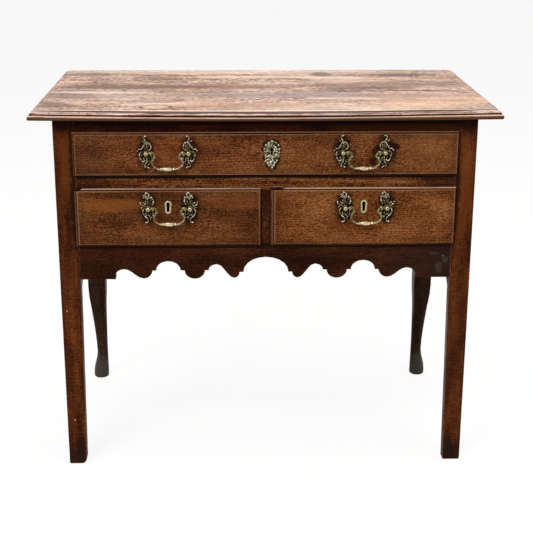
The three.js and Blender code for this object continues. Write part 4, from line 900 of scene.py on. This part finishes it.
def lip_wedge(front, length, height):
    """A wedge over the lip's top left corner: high at the corner, nothing at its far end."""
    low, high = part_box(front)
    left, top, foot = low.x - OVERRUN, high.z + OVERRUN, high.z - height
    turn = (low.x + length * CHIP_TURN_SHARES[0], foot + height * CHIP_TURN_SHARES[1])
    outline = [(left, foot), turn, (low.x + length, top), (left, top)]
    wedge = bmesh.new()
    rows = [[wedge.verts.new((x, y, z)) for x, z in outline]
            for y in (low.y - OVERRUN, low.y + LIP_DEPTH)]
    wedge.faces.new(rows[0])
    wedge.faces.new(reversed(rows[1]))
    for k in range(4):
        wedge.faces.new([rows[0][k], rows[1][k], rows[1][(k + 1) % 4], rows[0][(k + 1) % 4]])
    bmesh.ops.recalc_face_normals(wedge, faces=wedge.faces)
    return wedge


def split_lip(piece, front, length_mm, height_mm):
    """Cuts a wedge off the lip, and gives the cut the break's finish, painted black as shade."""
    wedge = lip_wedge(front, length_mm * MM, height_mm * MM)
    for face in wedge.faces:
        face.material_index = len(piece.data.materials)
    piece.data.materials.append(shaded_break)
    mesh = bpy.data.meshes.new("chip")
    wedge.to_mesh(mesh)
    wedge.free()
    chip = link_new("chip", mesh)
    cut = piece.modifiers.new("chip", "BOOLEAN")
    cut.object = chip
    cut.solver = "EXACT"
    piece.modifiers.move(len(piece.modifiers) - 1, 0)
    evaluated = piece.evaluated_get(bpy.context.evaluated_depsgraph_get())
    whole = bpy.data.meshes.new_from_object(evaluated)
    piece.modifiers.clear()
    piece.data = whole
    bpy.data.objects.remove(chip)


for drawer in DRAWER_FINISHES:
    front = worn_board(drawer + "_front", drawer, "drawer", drawer, "drawer_oak", round_mm=0.55,
                       axis="X", step_mm=11, waver_mm=0.08, rub_mm=0.3)
    if drawer in CHIPS_MM:
        split_lip(front, drawer + "_front", *CHIPS_MM[drawer])
    for part, lining, axis in (("_side_left", "lining", "Y"), ("_side_right", "lining", "Y"),
                               ("_back", "lining_across", "X"), ("_bottom", "lining_across", "X")):
        worn_board(drawer + part, lining, "pale", drawer, "liner_oak", round_mm=0.25,
                   axis=axis, step_mm=30, waver_mm=0.05, rub_mm=0.1)
print(len(DRAWER_FINISHES), "drawers of five boards")

# %% [markdown]
# ## Brass
# The mounts are cast brass, once bright as gold. Handling keeps the high spots polished to a pale
# greenish cream, and the hollows have filled with brown polish and verdigris that no cloth can
# reach. Pointiness tells hollows from ridges on these dense meshes. The depth from the drawer's face
# darkens what lies near the wood, with the dirt at the foot of every scroll and with painted shade,
# so that only the tops of the strands keep the bright colour, as a painted highlight. A post's head
# is painted dark in its middle as a painted reflection, and the plate round each post is darkened
# with grime and painted shade. The dark isn't metal, so the metallic value falls with it. The locks
# inside are plain iron, grey with a brown bloom of rust and duller than the brass, and take the same
# recipe.

# %% Mix brass and iron
BLOTCH_MM = 10 / 3  # from one blotch of tarnish to the next


def metal(name, bright, dull, dirt, dirt_and_shade_depth_mm=None, gloss=(0.28, 0.7), ridge=(0.48, 0.6), blotch=0.2,
          worn=None):
    """Polished on the ridges and dirty in the hollows. Given a depth in millimetres, it is dark close
    to the wood, with dirt and painted shade, so that only the tops keep the bright colour as a painted
    highlight. gloss is how rough it is where bright and where dark, and ridge the pointiness of
    hollows and ridges. worn is a place in the piece, two distances from it in millimetres, and how
    bright it is there: wear on a bail, a painted reflection in the middle of a post's head, and grime
    with painted shade round a plate's post."""
    material, add, shader = new_material(name)
    here = add("TexCoord").outputs["Object"]
    exposed = add("MapRange", (add("NewGeometry").outputs["Pointiness"], *ridge))
    # Dark near the wood: dirt, and painted shade that leaves the tops as painted highlights.
    if dirt_and_shade_depth_mm:
        forward = add("SeparateXYZ", (here,)).outputs["Y"]
        proud = add("MapRange", (forward, -dirt_and_shade_depth_mm[0] * MM, -dirt_and_shade_depth_mm[1] * MM))
        exposed = add("Math", (exposed, proud), operation="MULTIPLY")
    # Brighter or darker round a place: wear on a bail, a painted reflection on a post's head, grime
    # with painted shade round a plate's post.
    if worn:
        place, near, far, at_near, at_far = worn
        flat = add("VectorMath", (here, (1, 0, 1)), operation="MULTIPLY")
        away = add("VectorMath", (flat, Vector(place) * MM), operation="DISTANCE").outputs["Value"]
        wear_and_light_mask = add("MapRange", (away, near * MM, far * MM, at_near, at_far))
        exposed = add("Math", (exposed, wear_and_light_mask), operation="MULTIPLY")
    blotches = add("TexNoise", {"Vector": here, "Scale": 1 / (BLOTCH_MM * MM), "Detail": 3})
    uneven = add("MapRange", (blotches, 0.3, 0.7, -blotch, blotch))
    polish_and_light = add("Math", (exposed, uneven), operation="ADD", use_clamp=True)
    colour = add("ValToRGB", (polish_and_light,), [(0, dirt), (0.3, dull), (0.75, bright)])
    set_sockets(shader, {"Base Color": colour, "Specular IOR Level": WAX_SHEEN,
                         "Roughness": add("MapRange", (polish_and_light, 0, 1, gloss[1], gloss[0])),
                         "Metallic": add("MapRange", (polish_and_light, 0, 0.35))})
    return material


GRIP, POST_AXIS = (0, 0, -29), (0, 0, 0)  # in millimetres from a casting's own middle
brass_bail = metal("cast_brass_handled", "#e0d8b4", "#86784f", "#33260f", ridge=(0.45, 0.55),
                   blotch=0.3, worn=(GRIP, 12, 22, 1, 0.45))
# The post head's dark middle is a painted reflection, and its darkening near the wood painted shade.
brass_post = metal("cast_brass_post_heads", "#ded5ab", "#968a55", "#4c421f", dirt_and_shade_depth_mm=(4, 8),
                   ridge=(0.3, 0.45), blotch=0.05, worn=(POST_AXIS, 1.4, 3.2, 0.15, 1))
# Dark round the post with grime and painted shade, and dark near the wood with dirt and painted shade,
# leaving the strands' tops as painted highlights.
brass_plate = metal("cast_brass_grimy_and_shaded", "#dfd6b4", "#6a5c40", "#120b06", dirt_and_shade_depth_mm=(1.9, 4.4),
                    ridge=(0.47, 0.575), blotch=0.35, worn=(POST_AXIS, 5.5, 9, 0.1, 1))
# Dark near the wood with dirt and painted shade, leaving painted highlights on the tops of the relief.
brass_egg = metal("cast_brass_egg", "#f3ead0", "#857c56", "#17120a", dirt_and_shade_depth_mm=(1.4, 3.2),
                  ridge=(0.47, 0.57), blotch=0.4)
brass_thread = metal("sheet_brass_rubbed", "#d2c8a4", "#a89a74", "#4d4029")
# The walls of a keyhole are dark with dirt and painted shade.
keyhole_dirt_and_shade = metal("dirt_and_shade_in_a_keyhole", "#241810", "#160d08", "#0c0705", gloss=(0.8, 0.9))
iron = metal("lock_iron", "#7a746c", "#4f4a45", "#2d211a", gloss=(0.4, 0.75))
print("Five finishes of brass, one of dirt and one of iron")

# %% [markdown]
# ## Strands of a casting
# The founder's pattern was carved from flat wood into C-scrolls, S-scrolls and leaves that run
# into one another, each with a bead at its free end. A strand is drawn here as a swelling tube
# along a smooth curve, from its bead to its root. Remeshing the tubes together as one skin, then
# smoothing it, gives them the soft fused look of metal poured in sand.

# %% Curves, tubes and beads
VOXEL_MM = 0.38
UNDER_MM = 0.3  # between a casting's back and the wood
PATH_STEPS = 6  # from one stop of a path to the next
STRAND_SIDES, LATHE_SIDES = 10, 28
SWELL_MM = 0.25
BEAD_SUNK_SHARE, BEAD_PROUD_MM = 0.8, 0.3  # how a bead sits on its strand's end
SMOOTH_ANGLE = math.radians(45)


def smooth_path(stops, steps=PATH_STEPS):
    """A smooth curve through the stops, each a tuple of numbers."""
    ends = [Vector(stop) for stop in (stops[0], *stops, stops[-1])]
    path = []
    for a, b, c, d in zip(ends, ends[1:], ends[2:], ends[3:]):
        for t in (k / steps for k in range(steps)):
            turn = (2 * a - 5 * b + 4 * c - d) * t * t + (3 * b - a - 3 * c + d) * t**3
            path.append(b + ((c - a) * t + turn) / 2)
    return path + [ends[-1]]


def ring_round(path, k, half, tall, depth, sides):
    """A ring across a path drawn in X and Z, half wide, tall deep, and depth in front of the wood."""
    at, along = path[k], path[min(k + 1, len(path) - 1)] - path[max(k - 1, 0)]
    along = Vector((along.x, along.y)).normalized()
    ring = []
    for turn in (math.tau * n / sides for n in range(sides)):
        side, out = half * math.cos(turn), tall * math.sin(turn)
        ring.append(Vector((at.x - along.y * side, -depth - out, at.y + along.x * side)) * MM)
    return ring


def tube(work, rings):
    rows = [[work.verts.new(point) for point in ring] for ring in rings]
    size = len(rows[0])
    for a, b in zip(rows, rows[1:]):
        for k in range(size):
            work.faces.new([a[k], a[(k + 1) % size], b[(k + 1) % size], b[k]])
    work.faces.new(list(reversed(rows[0])))
    work.faces.new(rows[-1])


def ball(work, radius_mm, middle_mm, flat=1.0, rounds=2):
    """A ball, flattened from front to back."""
    shape = Matrix.Translation(Vector(middle_mm) * MM) @ Matrix.Diagonal((1, flat, 1, 1))
    bmesh.ops.create_icosphere(work, subdivisions=rounds, radius=radius_mm * MM, matrix=shape)


def strand(work, stops, half_mm, proud_mm, bead_mm=0):
    """One strand in X (out) and Z (up), lying on the wood and proud_mm high."""
    path = smooth_path(stops)
    tall = (proud_mm - UNDER_MM) / 2
    rings = []
    for k in range(len(path)):
        share = k / (len(path) - 1)
        half = half_mm[0] + (half_mm[1] - half_mm[0]) * share + SWELL_MM * math.sin(math.pi * share)
        rings.append(ring_round(path, k, half, tall, UNDER_MM + tall, STRAND_SIDES))
    tube(work, rings)
    if bead_mm:
        sunk_to = bead_mm * BEAD_SUNK_SHARE - proud_mm - BEAD_PROUD_MM
        ball(work, bead_mm, (path[0].x, sunk_to, path[0].y))


def lathe(work, profile):
    """Turns (radius, y) pairs in millimetres round the Y axis."""
    turns = [math.tau * n / LATHE_SIDES for n in range(LATHE_SIDES)]
    tube(work, [[Vector((radius * math.cos(t), y, radius * math.sin(t))) * MM for t in turns]
                for radius, y in profile])


def mesh_of(work, name):
    bmesh.ops.recalc_face_normals(work, faces=work.faces)
    mesh = bpy.data.meshes.new(name)
    work.to_mesh(mesh)
    work.free()
    return mesh


def fused(work, name, voxel_mm=VOXEL_MM, smoothing=3):
    """One skin over all that work holds."""
    rough = link_new(name, mesh_of(work, name))
    skin = rough.modifiers.new("skin", "REMESH")
    skin.mode = "VOXEL"
    skin.voxel_size = voxel_mm * MM
    relax = rough.modifiers.new("relax", "SMOOTH")
    relax.iterations = smoothing
    relax.factor = 0.5
    whole = bpy.data.meshes.new_from_object(rough.evaluated_get(bpy.context.evaluated_depsgraph_get()))
    bpy.data.objects.remove(rough)
    return whole


def set_smooth(mesh):
    mesh.shade_smooth()
    mesh.set_sharp_from_angle(angle=SMOOTH_ANGLE)


print("A voxel is", VOXEL_MM, "mm, about a fifth of a plate's finest strand")

# %% [markdown]
# ## Handle plates
# Each post comes through a pierced plate. The upper plates carry a hooked finial, a large C-scroll
# round a shell, and a tail. The lower ones have a palmette above and a long S-scroll below. Left
# and right are mirrored, and the tops of some plates were bent a little out of true.

# %% Draw the strands of the plates
# Each strand has its stops out and up from the post, its half width at both ends, how proud it
# stands and the radius of its bead, all in millimetres.
UPPER_PLATE = [
    ([(-0.5, 31.2), (2.3, 30.2), (3.3, 26.6), (0.9, 22.6), (-0.8, 19.6)], (1.0, 1.5), 4.2, 1.5),
    ([(6.8, 22.2), (4.2, 20.4), (1.2, 19.4)], (1.2, 1.3), 3.6, 1.5),
    ([(-4.4, 4.8), (-7.6, 6.0), (-9.3, 10.2), (-8.0, 15.2), (-4.6, 18.6), (-0.6, 19.2)],
     (1.3, 1.5), 4.6, 1.7),
    ([(12.4, 6.8), (9.4, 6.3), (6.4, 9.2), (4.0, 13.6), (0.6, 18.8)], (1.1, 1.6), 4.6, 1.5),
    ([(16.0, 3.4), (14.2, 5.0), (12.0, 6.6)], (1.0, 1.1), 3.8, 1.4),
    ([(-4.6, 14.2), (-4.6, 9.6), (-1.6, 4.0)], (1.0, 1.4), 3.2, 1.5),
    ([(-1.4, 15.6), (-1.2, 10.0), (-0.4, 4.0)], (1.0, 1.4), 3.4, 1.5),
    ([(1.8, 13.2), (2.0, 8.6), (0.8, 4.0)], (1.0, 1.4), 3.2, 1.4),
    ([(12.4, -5.0), (11.8, -1.4), (8.2, 1.2), (3.4, 0.8)], (1.0, 1.5), 3.8, 1.6),
    ([(11.0, -5.6), (7.2, -3.9), (3.4, -2.2)], (1.1, 1.4), 3.2, 0),
    ([(2.8, -14.6), (5.2, -16.6), (8.4, -14.9), (10.6, -10.8), (11.5, -5.8)], (1.3, 1.6), 4.6, 1.7),
    ([(-3.0, -23.4), (-7.6, -18.8), (-10.6, -12.4), (-8.6, -5.6), (-3.0, -1.0)], (1.0, 1.5), 3.4, 1.2),
    ([(-4.2, -28.6), (-1.2, -26.8), (2.4, -26.4), (2.2, -22.4), (-0.6, -17.8), (-1.2, -11.0),
      (0.2, -3.4)], (1.0, 1.7), 4.2, 1.5),
    ([(4.4, -12.0), (3.4, -8.0), (1.2, -4.0)], (1.2, 1.4), 3.0, 1.3),
    ([(-5.4, -16.4), (-4.8, -10.6), (-1.6, -4.0)], (1.1, 1.4), 3.0, 1.2),
    ([(6.4, -21.2), (4.4, -18.8), (2.2, -17.0)], (1.0, 1.2), 3.2, 1.3),
]
LOWER_PLATE = [
    ([(3.2, 29.4), (1.0, 28.6), (-1.6, 26.6), (-1.4, 23.4), (0.6, 20.6)], (1.7, 1.3), 4.8, 2.0),
    ([(8.2, 24.6), (5.0, 22.4), (1.6, 18.4)], (1.5, 1.3), 4.6, 1.6),
    ([(8.0, 20.4), (5.2, 19.6), (1.8, 17.6)], (1.2, 1.2), 4.0, 1.4),
    ([(5.0, 26.4), (3.6, 23.4), (1.6, 19.0)], (1.2, 1.2), 4.2, 1.4),
    ([(1.0, 22.6), (0.9, 19.6), (0.8, 16.6)], (1.5, 1.1), 4.8, 0),
    ([(-0.8, 18.6), (-3.2, 20.2), (-6.2, 20.8), (-8.2, 18.4)], (1.4, 2.0), 4.2, 0),
    ([(-8.2, 7.6), (-10.0, 11.2), (-9.4, 15.8), (-7.4, 19.0), (-3.6, 20.6), (-0.6, 18.4)],
     (1.5, 1.5), 4.6, 1.8),
    ([(0.6, 17.4), (0.4, 12.0), (0.4, 6.0)], (1.1, 1.5), 3.4, 0),
    ([(-4.8, 15.4), (-4.4, 10.6), (-1.6, 5.0)], (1.3, 1.3), 3.2, 1.3),
    ([(4.2, 14.4), (4.4, 10.0), (1.8, 5.0)], (1.2, 1.3), 3.2, 1.3),
    ([(14.2, 10.4), (13.4, 7.4), (10.4, 5.0), (5.0, 3.4)], (1.3, 1.6), 4.4, 1.8),
    ([(8.8, 10.0), (6.6, 8.8), (3.4, 5.2)], (1.3, 1.4), 4.2, 1.7),
    ([(12.0, 0.6), (9.4, 1.6), (5.0, 1.8)], (1.0, 1.4), 3.6, 1.3),
    ([(4.6, -27.8), (1.4, -27.0), (0.2, -24.2), (1.0, -20.6), (4.6, -17.2), (7.6, -13.6),
      (9.8, -9.6), (10.2, -5.4), (7.8, -1.4), (4.0, -0.4)], (1.4, 1.3), 4.6, 1.8),
    ([(-4.8, -18.0), (-2.0, -15.2), (0.4, -12.8), (4.6, -14.6)], (1.1, 1.3), 3.8, 1.6),
    ([(-8.6, -14.6), (-9.4, -9.6), (-6.6, -4.2), (-3.0, -1.6)], (1.1, 1.5), 3.2, 1.4),
    ([(-4.0, -21.6), (-7.0, -17.4), (-8.8, -12.4)], (1.0, 1.3), 3.0, 1.3),
    ([(0.2, -12.6), (0.4, -8.0), (0.2, -3.6)], (1.3, 1.4), 3.2, 0),
    ([(-4.2, -11.4), (-3.6, -7.6), (-1.4, -3.6)], (1.1, 1.3), 3.2, 1.3),
    ([(4.6, -10.8), (4.0, -7.4), (2.0, -3.4)], (1.1, 1.2), 3.2, 1.2),
]
print(len(UPPER_PLATE), "strands in an upper plate and", len(LOWER_PLATE), "in a lower one")

# %% [markdown]
# ## Two patterns for eight plates
# The eight plates need only two castings, as they needed two patterns at the foundry. Each copy is
# mirrored for its side and bent if it was bent. Its post is turned on a lathe, with a ball head, a
# collar, a shank through the drawer front and a nut, so its outline is simply swept round an axis.

# %% Cast the plates and turn the posts
POST_PROFILE = [  # radius and depth, from the ball head through the wood to the nut
    (0.01, -17.3), (0.9, -17.4), (1.4, -17.5), (2.2, -17.2), (3.4, -16.2), (4.3, -14.7), (4.6, -13.0),
    (4.3, -11.3), (3.4, -9.9), (2.6, -9.0), (2.3, -7.6), (2.6, -5.6), (3.4, -4.6), (4.3, -4.0),
    (4.4, -2.6), (2.4, -2.4), (2.4, 22.3), (5.5, 22.35), (5.5, 25.2), (2.4, 25.3), (2.4, 27.2),
    (0.01, 27.3),
]
BOSS_PROFILE = [(0.01, -2.2), (3.0, -2.2), (5.6, -1.4), (5.6, -0.3), (0.01, -0.3)]
LEAN_MM = {("lower_left_handle", 1): 6, ("lower_right_handle", 1): 9, ("upper_left_handle", 1): 2.5}
LEAN_FROM_MM, LEAN_OVER_MM = 12, 19  # a plate leans from here up, and by its full lean this much on


def cast_plate(name, strands):
    work = bmesh.new()
    for measures in strands:
        strand(work, *measures)
    lathe(work, BOSS_PROFILE)
    return fused(work, name)


def add_post(mesh):
    """Joins the turned post, its shank and its nut to a plate's mesh."""
    work = bmesh.new()
    work.from_mesh(mesh)
    turned = bmesh.new()
    lathe(turned, POST_PROFILE)
    post = mesh_of(turned, "post")
    cast_faces = len(work.faces)
    work.from_mesh(post)
    work.faces.ensure_lookup_table()
    for face in work.faces[cast_faces:]:
        face.material_index = 1
    bpy.data.meshes.remove(post)
    work.to_mesh(mesh)
    work.free()


castings = {"upper": cast_plate("upper_casting", UPPER_PLATE),
            "lower": cast_plate("lower_casting", LOWER_PLATE)}
for handle, drawer in HANDLES.items():
    for side, side_name in ((-1, "_plate_left"), (1, "_plate_right")):
        mesh = castings[handle[:5]].copy()
        lean = LEAN_MM.get((handle, side), 0) / LEAN_OVER_MM
        for v in mesh.vertices:
            v.co.x -= max(0, v.co.z - LEAN_FROM_MM * MM) * lean
            v.co.x *= side
        if side < 0:
            mesh.flip_normals()
        add_post(mesh)
        set_smooth(mesh)
        mesh.materials.append(brass_plate)
        mesh.materials.append(brass_post)
        plate = link_new(handle + side_name + "_cast", mesh)
        plate.location = handle_middle(handle) + Vector((side * POST_SPACING / 2, 0, 0))
        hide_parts(handle + side_name)
        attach(plate, drawer)
print("Eight plates of", len(castings["upper"].vertices), "points")

# %% [markdown]
# ## Bails
# A bail is the swinging part. Each end turns in a post, rolls over in a small eye, runs through a
# leaf and sweeps down to a baluster grip between two beads. It is cast in one piece and filed, so
# it is drawn as one tube of changing thickness, with the eyes, leaves and beads grown on it.

# %% Cast the bails
BAIL_HALF = [  # inwards from the post and up, in millimetres, and the radius there
    (1.0, 0, 1.3), (4.5, 0, 1.3), (6.3, 0.4, 1.9), (9.0, 2.6, 1.8), (12.8, 1.6, 2.0), (15.4, -2.2, 2.2),
    (15.8, -6.2, 2.7), (13.4, -10.6, 2.5), (10.6, -15.4, 1.9), (11.4, -20.4, 1.9), (15.4, -25.2, 2.0),
    (20.4, -28.4, 2.1), (24.2, -28.9, 1.9), (26.4, -28.8, 1.7), (29.2, -28.7, 1.7),
    (30.6, -28.8, 2.7), (34.4, -29.0, 3.8), (39.25, -29.1, 4.1),
]
BAIL_BEADS = [  # inwards, up, radius and how flat: an eye, two leaves and a bead
    (9.4, -0.2, 3.1, 0.75), (18.0, -5.8, 1.7, 0.8), (12.2, -8.8, 1.6, 0.8), (27.5, -28.7, 2.9, 1),
]
BAIL_DEPTH_MM, BAIL_SIDES = 13, 12


def cast_bail():
    work = bmesh.new()
    half = POST_SPACING / MM / 2
    stops = [(half - x, z, radius) for x, z, radius in BAIL_HALF]
    path = smooth_path(stops + [(-x, z, radius) for x, z, radius in reversed(stops[:-1])])
    tube(work, [ring_round(path, k, at.z, at.z, 0, BAIL_SIDES) for k, at in enumerate(path)])
    for side in (-1, 1):
        for x, z, radius, flat in BAIL_BEADS:
            ball(work, radius, (side * (half - x), 0, z), flat, rounds=3)
    return fused(work, "bail_casting", voxel_mm=0.4, smoothing=2)


bail_mesh = cast_bail()
set_smooth(bail_mesh)
bail_mesh.materials.append(brass_bail)
for handle in HANDLES:
    bail = link_new(handle + "_bail_cast", bail_mesh)
    bail.location = handle_middle(handle) - Vector((0, BAIL_DEPTH_MM * MM, 0))
    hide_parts(handle + "_bail")
    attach(bail, handle + "_bail")
print("Four bails of", len(bail_mesh.vertices), "points")

# %% [markdown]
# ## The escutcheon
# The long drawer's keyhole has a cast plate: a pierced egg with a beaded rim, rays round the
# keyhole and crossed scrolls below. The measured plate is kept as its flat ground, with its
# keyhole filed out a little, and the relief is grown on it, a little unevenly, as it was carved.

# %% Draw the egg plate's ornament
KEYHOLE = Vector((10, DRAWER_FACE / MM, 646.5)) * MM
HOLE, SLOT_HALF, SLOT_DROP = 3.8 * MM, 1.9 * MM, 10 * MM  # a little wider than in the wood behind
RIM = [
    (1.3, 16.6), (-7.6, 13.2), (-12.6, 7.2), (-14.4, 0.6), (-13.2, -7), (-11.6, -14), (-9.6, -21),
    (-7.0, -28), (-3.8, -33.4), (0, -35.4), (3.6, -33), (7.2, -27), (10.4, -20), (13.0, -12),
    (14.6, -4), (14.6, 4), (12.2, 10.4), (7.6, 14.6), (1.3, 16.6),
]
LEAVES = [
    ([(-12.0, -22.0), (-8.0, -18.6), (-4.4, -17.2)], (1.6, 1.2), 3.4, 1.6),
    ([(-6.8, -29.6), (-3.4, -25.4), (1.4, -20.2), (2.0, -17.0)], (1.6, 1.2), 3.4, 0),
    ([(0.8, -33.0), (3.6, -28.6), (5.4, -25.0), (9.4, -20.6)], (2.3, 1.2), 3.4, 2.5),
    ([(-4.7, -21.9), (-2.6, -21.0)], (1.2, 1.0), 3.4, 1.8),
    ([(4.6, -1.8), (8.4, -2.8), (11.4, -5.2), (12.8, -10.6)], (1.2, 1.5), 3.4, 1.7),
    ([(8.6, -8.8), (5.6, -12.0), (3.0, -15.0)], (1.3, 1.2), 3.2, 2.0),
    ([(-10.4, -3.8), (-7.4, -2.4), (-4.6, -1.6)], (1.4, 1.1), 3.2, 0),
    ([(-8.2, -13.2), (-5.2, -11.0), (-2.4, -13.6)], (1.2, 1.2), 3.2, 1.7),
    ([(0.2, -10.8), (0.2, -17.2)], (2.3, 2.7), 3.5, 0),
]
LOBES, LOBE_MM, LOBE_FLAT = 20, (1.9, 0.9), 0.8  # a count, radius and how it varies, how flat
LOBE_IN_SHARE, LOBE_OUT_MM = 0.96, 1.7  # their middles, in from the rim and out from the wood
LOBE_NOISE_MM, RAY_NOISE_STEP = 3, 1.7  # how quickly lobes and rays change from one to the next
RAYS, FIRST_RAY, RAY_SWEEP = 9, -20, 220  # a count, and degrees
RAY_MM = (6.6, 10.4)  # where they start and end, from the keyhole's middle
RAY_HALF_MM, RAY_PROUD_MM = (1.3, 0.8), 3.2
ARCH_MM, ARCH_HALF_MM, ARCH_PROUD_MM = 4.7, (0.7, 0.7), 2.8  # radius, half width and height
ARCH_STOPS, ARCH_START, ARCH_STEP = 11, 232, 28.4  # a count, and degrees
ARCH_FEET = [(3.0, -5.6), (3.2, -9.0)]
print("The rim has", LOBES, "lobes and the keyhole", RAYS, "rays")

# %% [markdown]
# ## Growing the relief
# The lobes are dropped one by one on a walk round the rim. The rays and the scrolls are strands
# like those of the plates. Fused with the ground, they read as one piece of brass.

# %% Cast the egg plate
def file_keyhole(work):
    """Widens the keyhole's round and its slot."""
    for v in work.verts:
        from_axis = math.hypot(v.co.x, v.co.z)
        if from_axis < HOLE:
            v.co.x *= HOLE / from_axis
            v.co.z *= HOLE / from_axis
        elif abs(v.co.x) < SLOT_HALF and -SLOT_DROP < v.co.z < 0:
            v.co.x = math.copysign(SLOT_HALF, v.co.x)


def bead_rim(work):
    """Walks round the rim and drops a lobe whenever one is due."""
    rim = smooth_path(RIM, 12)
    total = sum((b - a).length for a, b in zip(rim, rim[1:]))
    walked, due = 0, 0
    for a, b in zip(rim, rim[1:]):
        walked += (b - a).length
        if walked >= due:
            uneven = noise.noise(Vector((b.x, b.y, 0)) / LOBE_NOISE_MM)
            due += total / LOBES * (1 + uneven / 2)
            middle = (b.x * LOBE_IN_SHARE, -LOBE_OUT_MM, b.y * LOBE_IN_SHARE)
            ball(work, LOBE_MM[0] + LOBE_MM[1] * uneven, middle, LOBE_FLAT)


def cast_egg():
    work = bmesh.new()
    work.from_mesh(nodes["upper_escutcheon"].data)
    bmesh.ops.translate(work, verts=work.verts, vec=-KEYHOLE)
    file_keyhole(work)
    bead_rim(work)
    for k in range(RAYS):
        turn = math.radians(FIRST_RAY + RAY_SWEEP * k / (RAYS - 1))
        uneven = noise.noise(Vector((k * RAY_NOISE_STEP, 0, 0)))
        outwards = Vector((math.cos(turn), math.sin(turn)))
        near, far = outwards * RAY_MM[0], outwards * (RAY_MM[1] + uneven)
        stops = [tuple(far), tuple((near + far) / 2), tuple(near)]
        strand(work, stops, RAY_HALF_MM, RAY_PROUD_MM + uneven)
    turns = [math.radians(ARCH_START - ARCH_STEP * k) for k in range(ARCH_STOPS)]
    left_foot = [(-x, z) for x, z in reversed(ARCH_FEET)]
    arch = [(math.cos(t) * ARCH_MM, math.sin(t) * ARCH_MM) for t in turns]
    strand(work, left_foot + arch + ARCH_FEET, ARCH_HALF_MM, ARCH_PROUD_MM)
    for measures in LEAVES:
        strand(work, *measures)
    return fused(work, "egg_plate_casting", voxel_mm=0.36, smoothing=2)


egg_mesh = cast_egg()
set_smooth(egg_mesh)
egg_mesh.materials.append(brass_egg)
egg = link_new("upper_escutcheon_cast", egg_mesh)
egg.location = KEYHOLE
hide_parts("upper_escutcheon")
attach(egg, "upper_drawer")
print("One egg plate of", len(egg_mesh.vertices), "points")

# %% [markdown]
# ## Threads and locks
# The short drawers have plain brass threads let into the wood, dark inside their keyholes with dirt
# and painted shade. The faces of the hole are those that lie near its axis and look towards it.
# Behind each front sits an iron lock whose bolt shoots up into the rail. Its measured shape is right
# as it is, so it only takes its finish.

# %% Finish the threads and the locks
INSIDE_SHARE, SIDEWAYS = 0.62, 0.6  # of the thread's width, and of a face's normal
KEYHOLE_WALL = 2

for side in ("lower_left", "lower_right"):
    thread = melted(side + "_escutcheon")
    round_corners(thread, size_mm=0.35)
    low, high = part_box(side + "_escutcheon")
    for face in thread.faces:
        from_axis = face.calc_center_median() - (low + high) / 2
        inside = from_axis.length < (high.x - low.x) * INSIDE_SHARE
        if inside and abs(face.normal.y) < SIDEWAYS and face.normal.dot(from_axis) < 0:
            face.material_index = KEYHOLE_WALL
    thread = finish_board(thread, side + "_escutcheon", brass_thread, brass_thread, side + "_drawer",
                          "aged_brass")
    thread.data.materials.append(keyhole_dirt_and_shade)
for lock in ("upper", "lower_left", "lower_right"):
    for part in ("_lock_case", "_lock_bolt"):
        nodes[lock + part].data.materials.clear()
        nodes[lock + part].data.materials.append(iron)
print("Two threads and three locks")

# %% [markdown]
# ## Sizes of both boxes
# The measured box and the dressed one are both gathered, and the dressed size is printed.
# The dressed table has to stay inside the measured one.

# %% Gather both boxes and finish
dressed_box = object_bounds()
sizes = {"cad": [list(corner) for corner in measured_box],
         "visual": [list(corner) for corner in dressed_box]}
print("Dressed box", [round(b - a, 4) for a, b in zip(*sizes["visual"])])
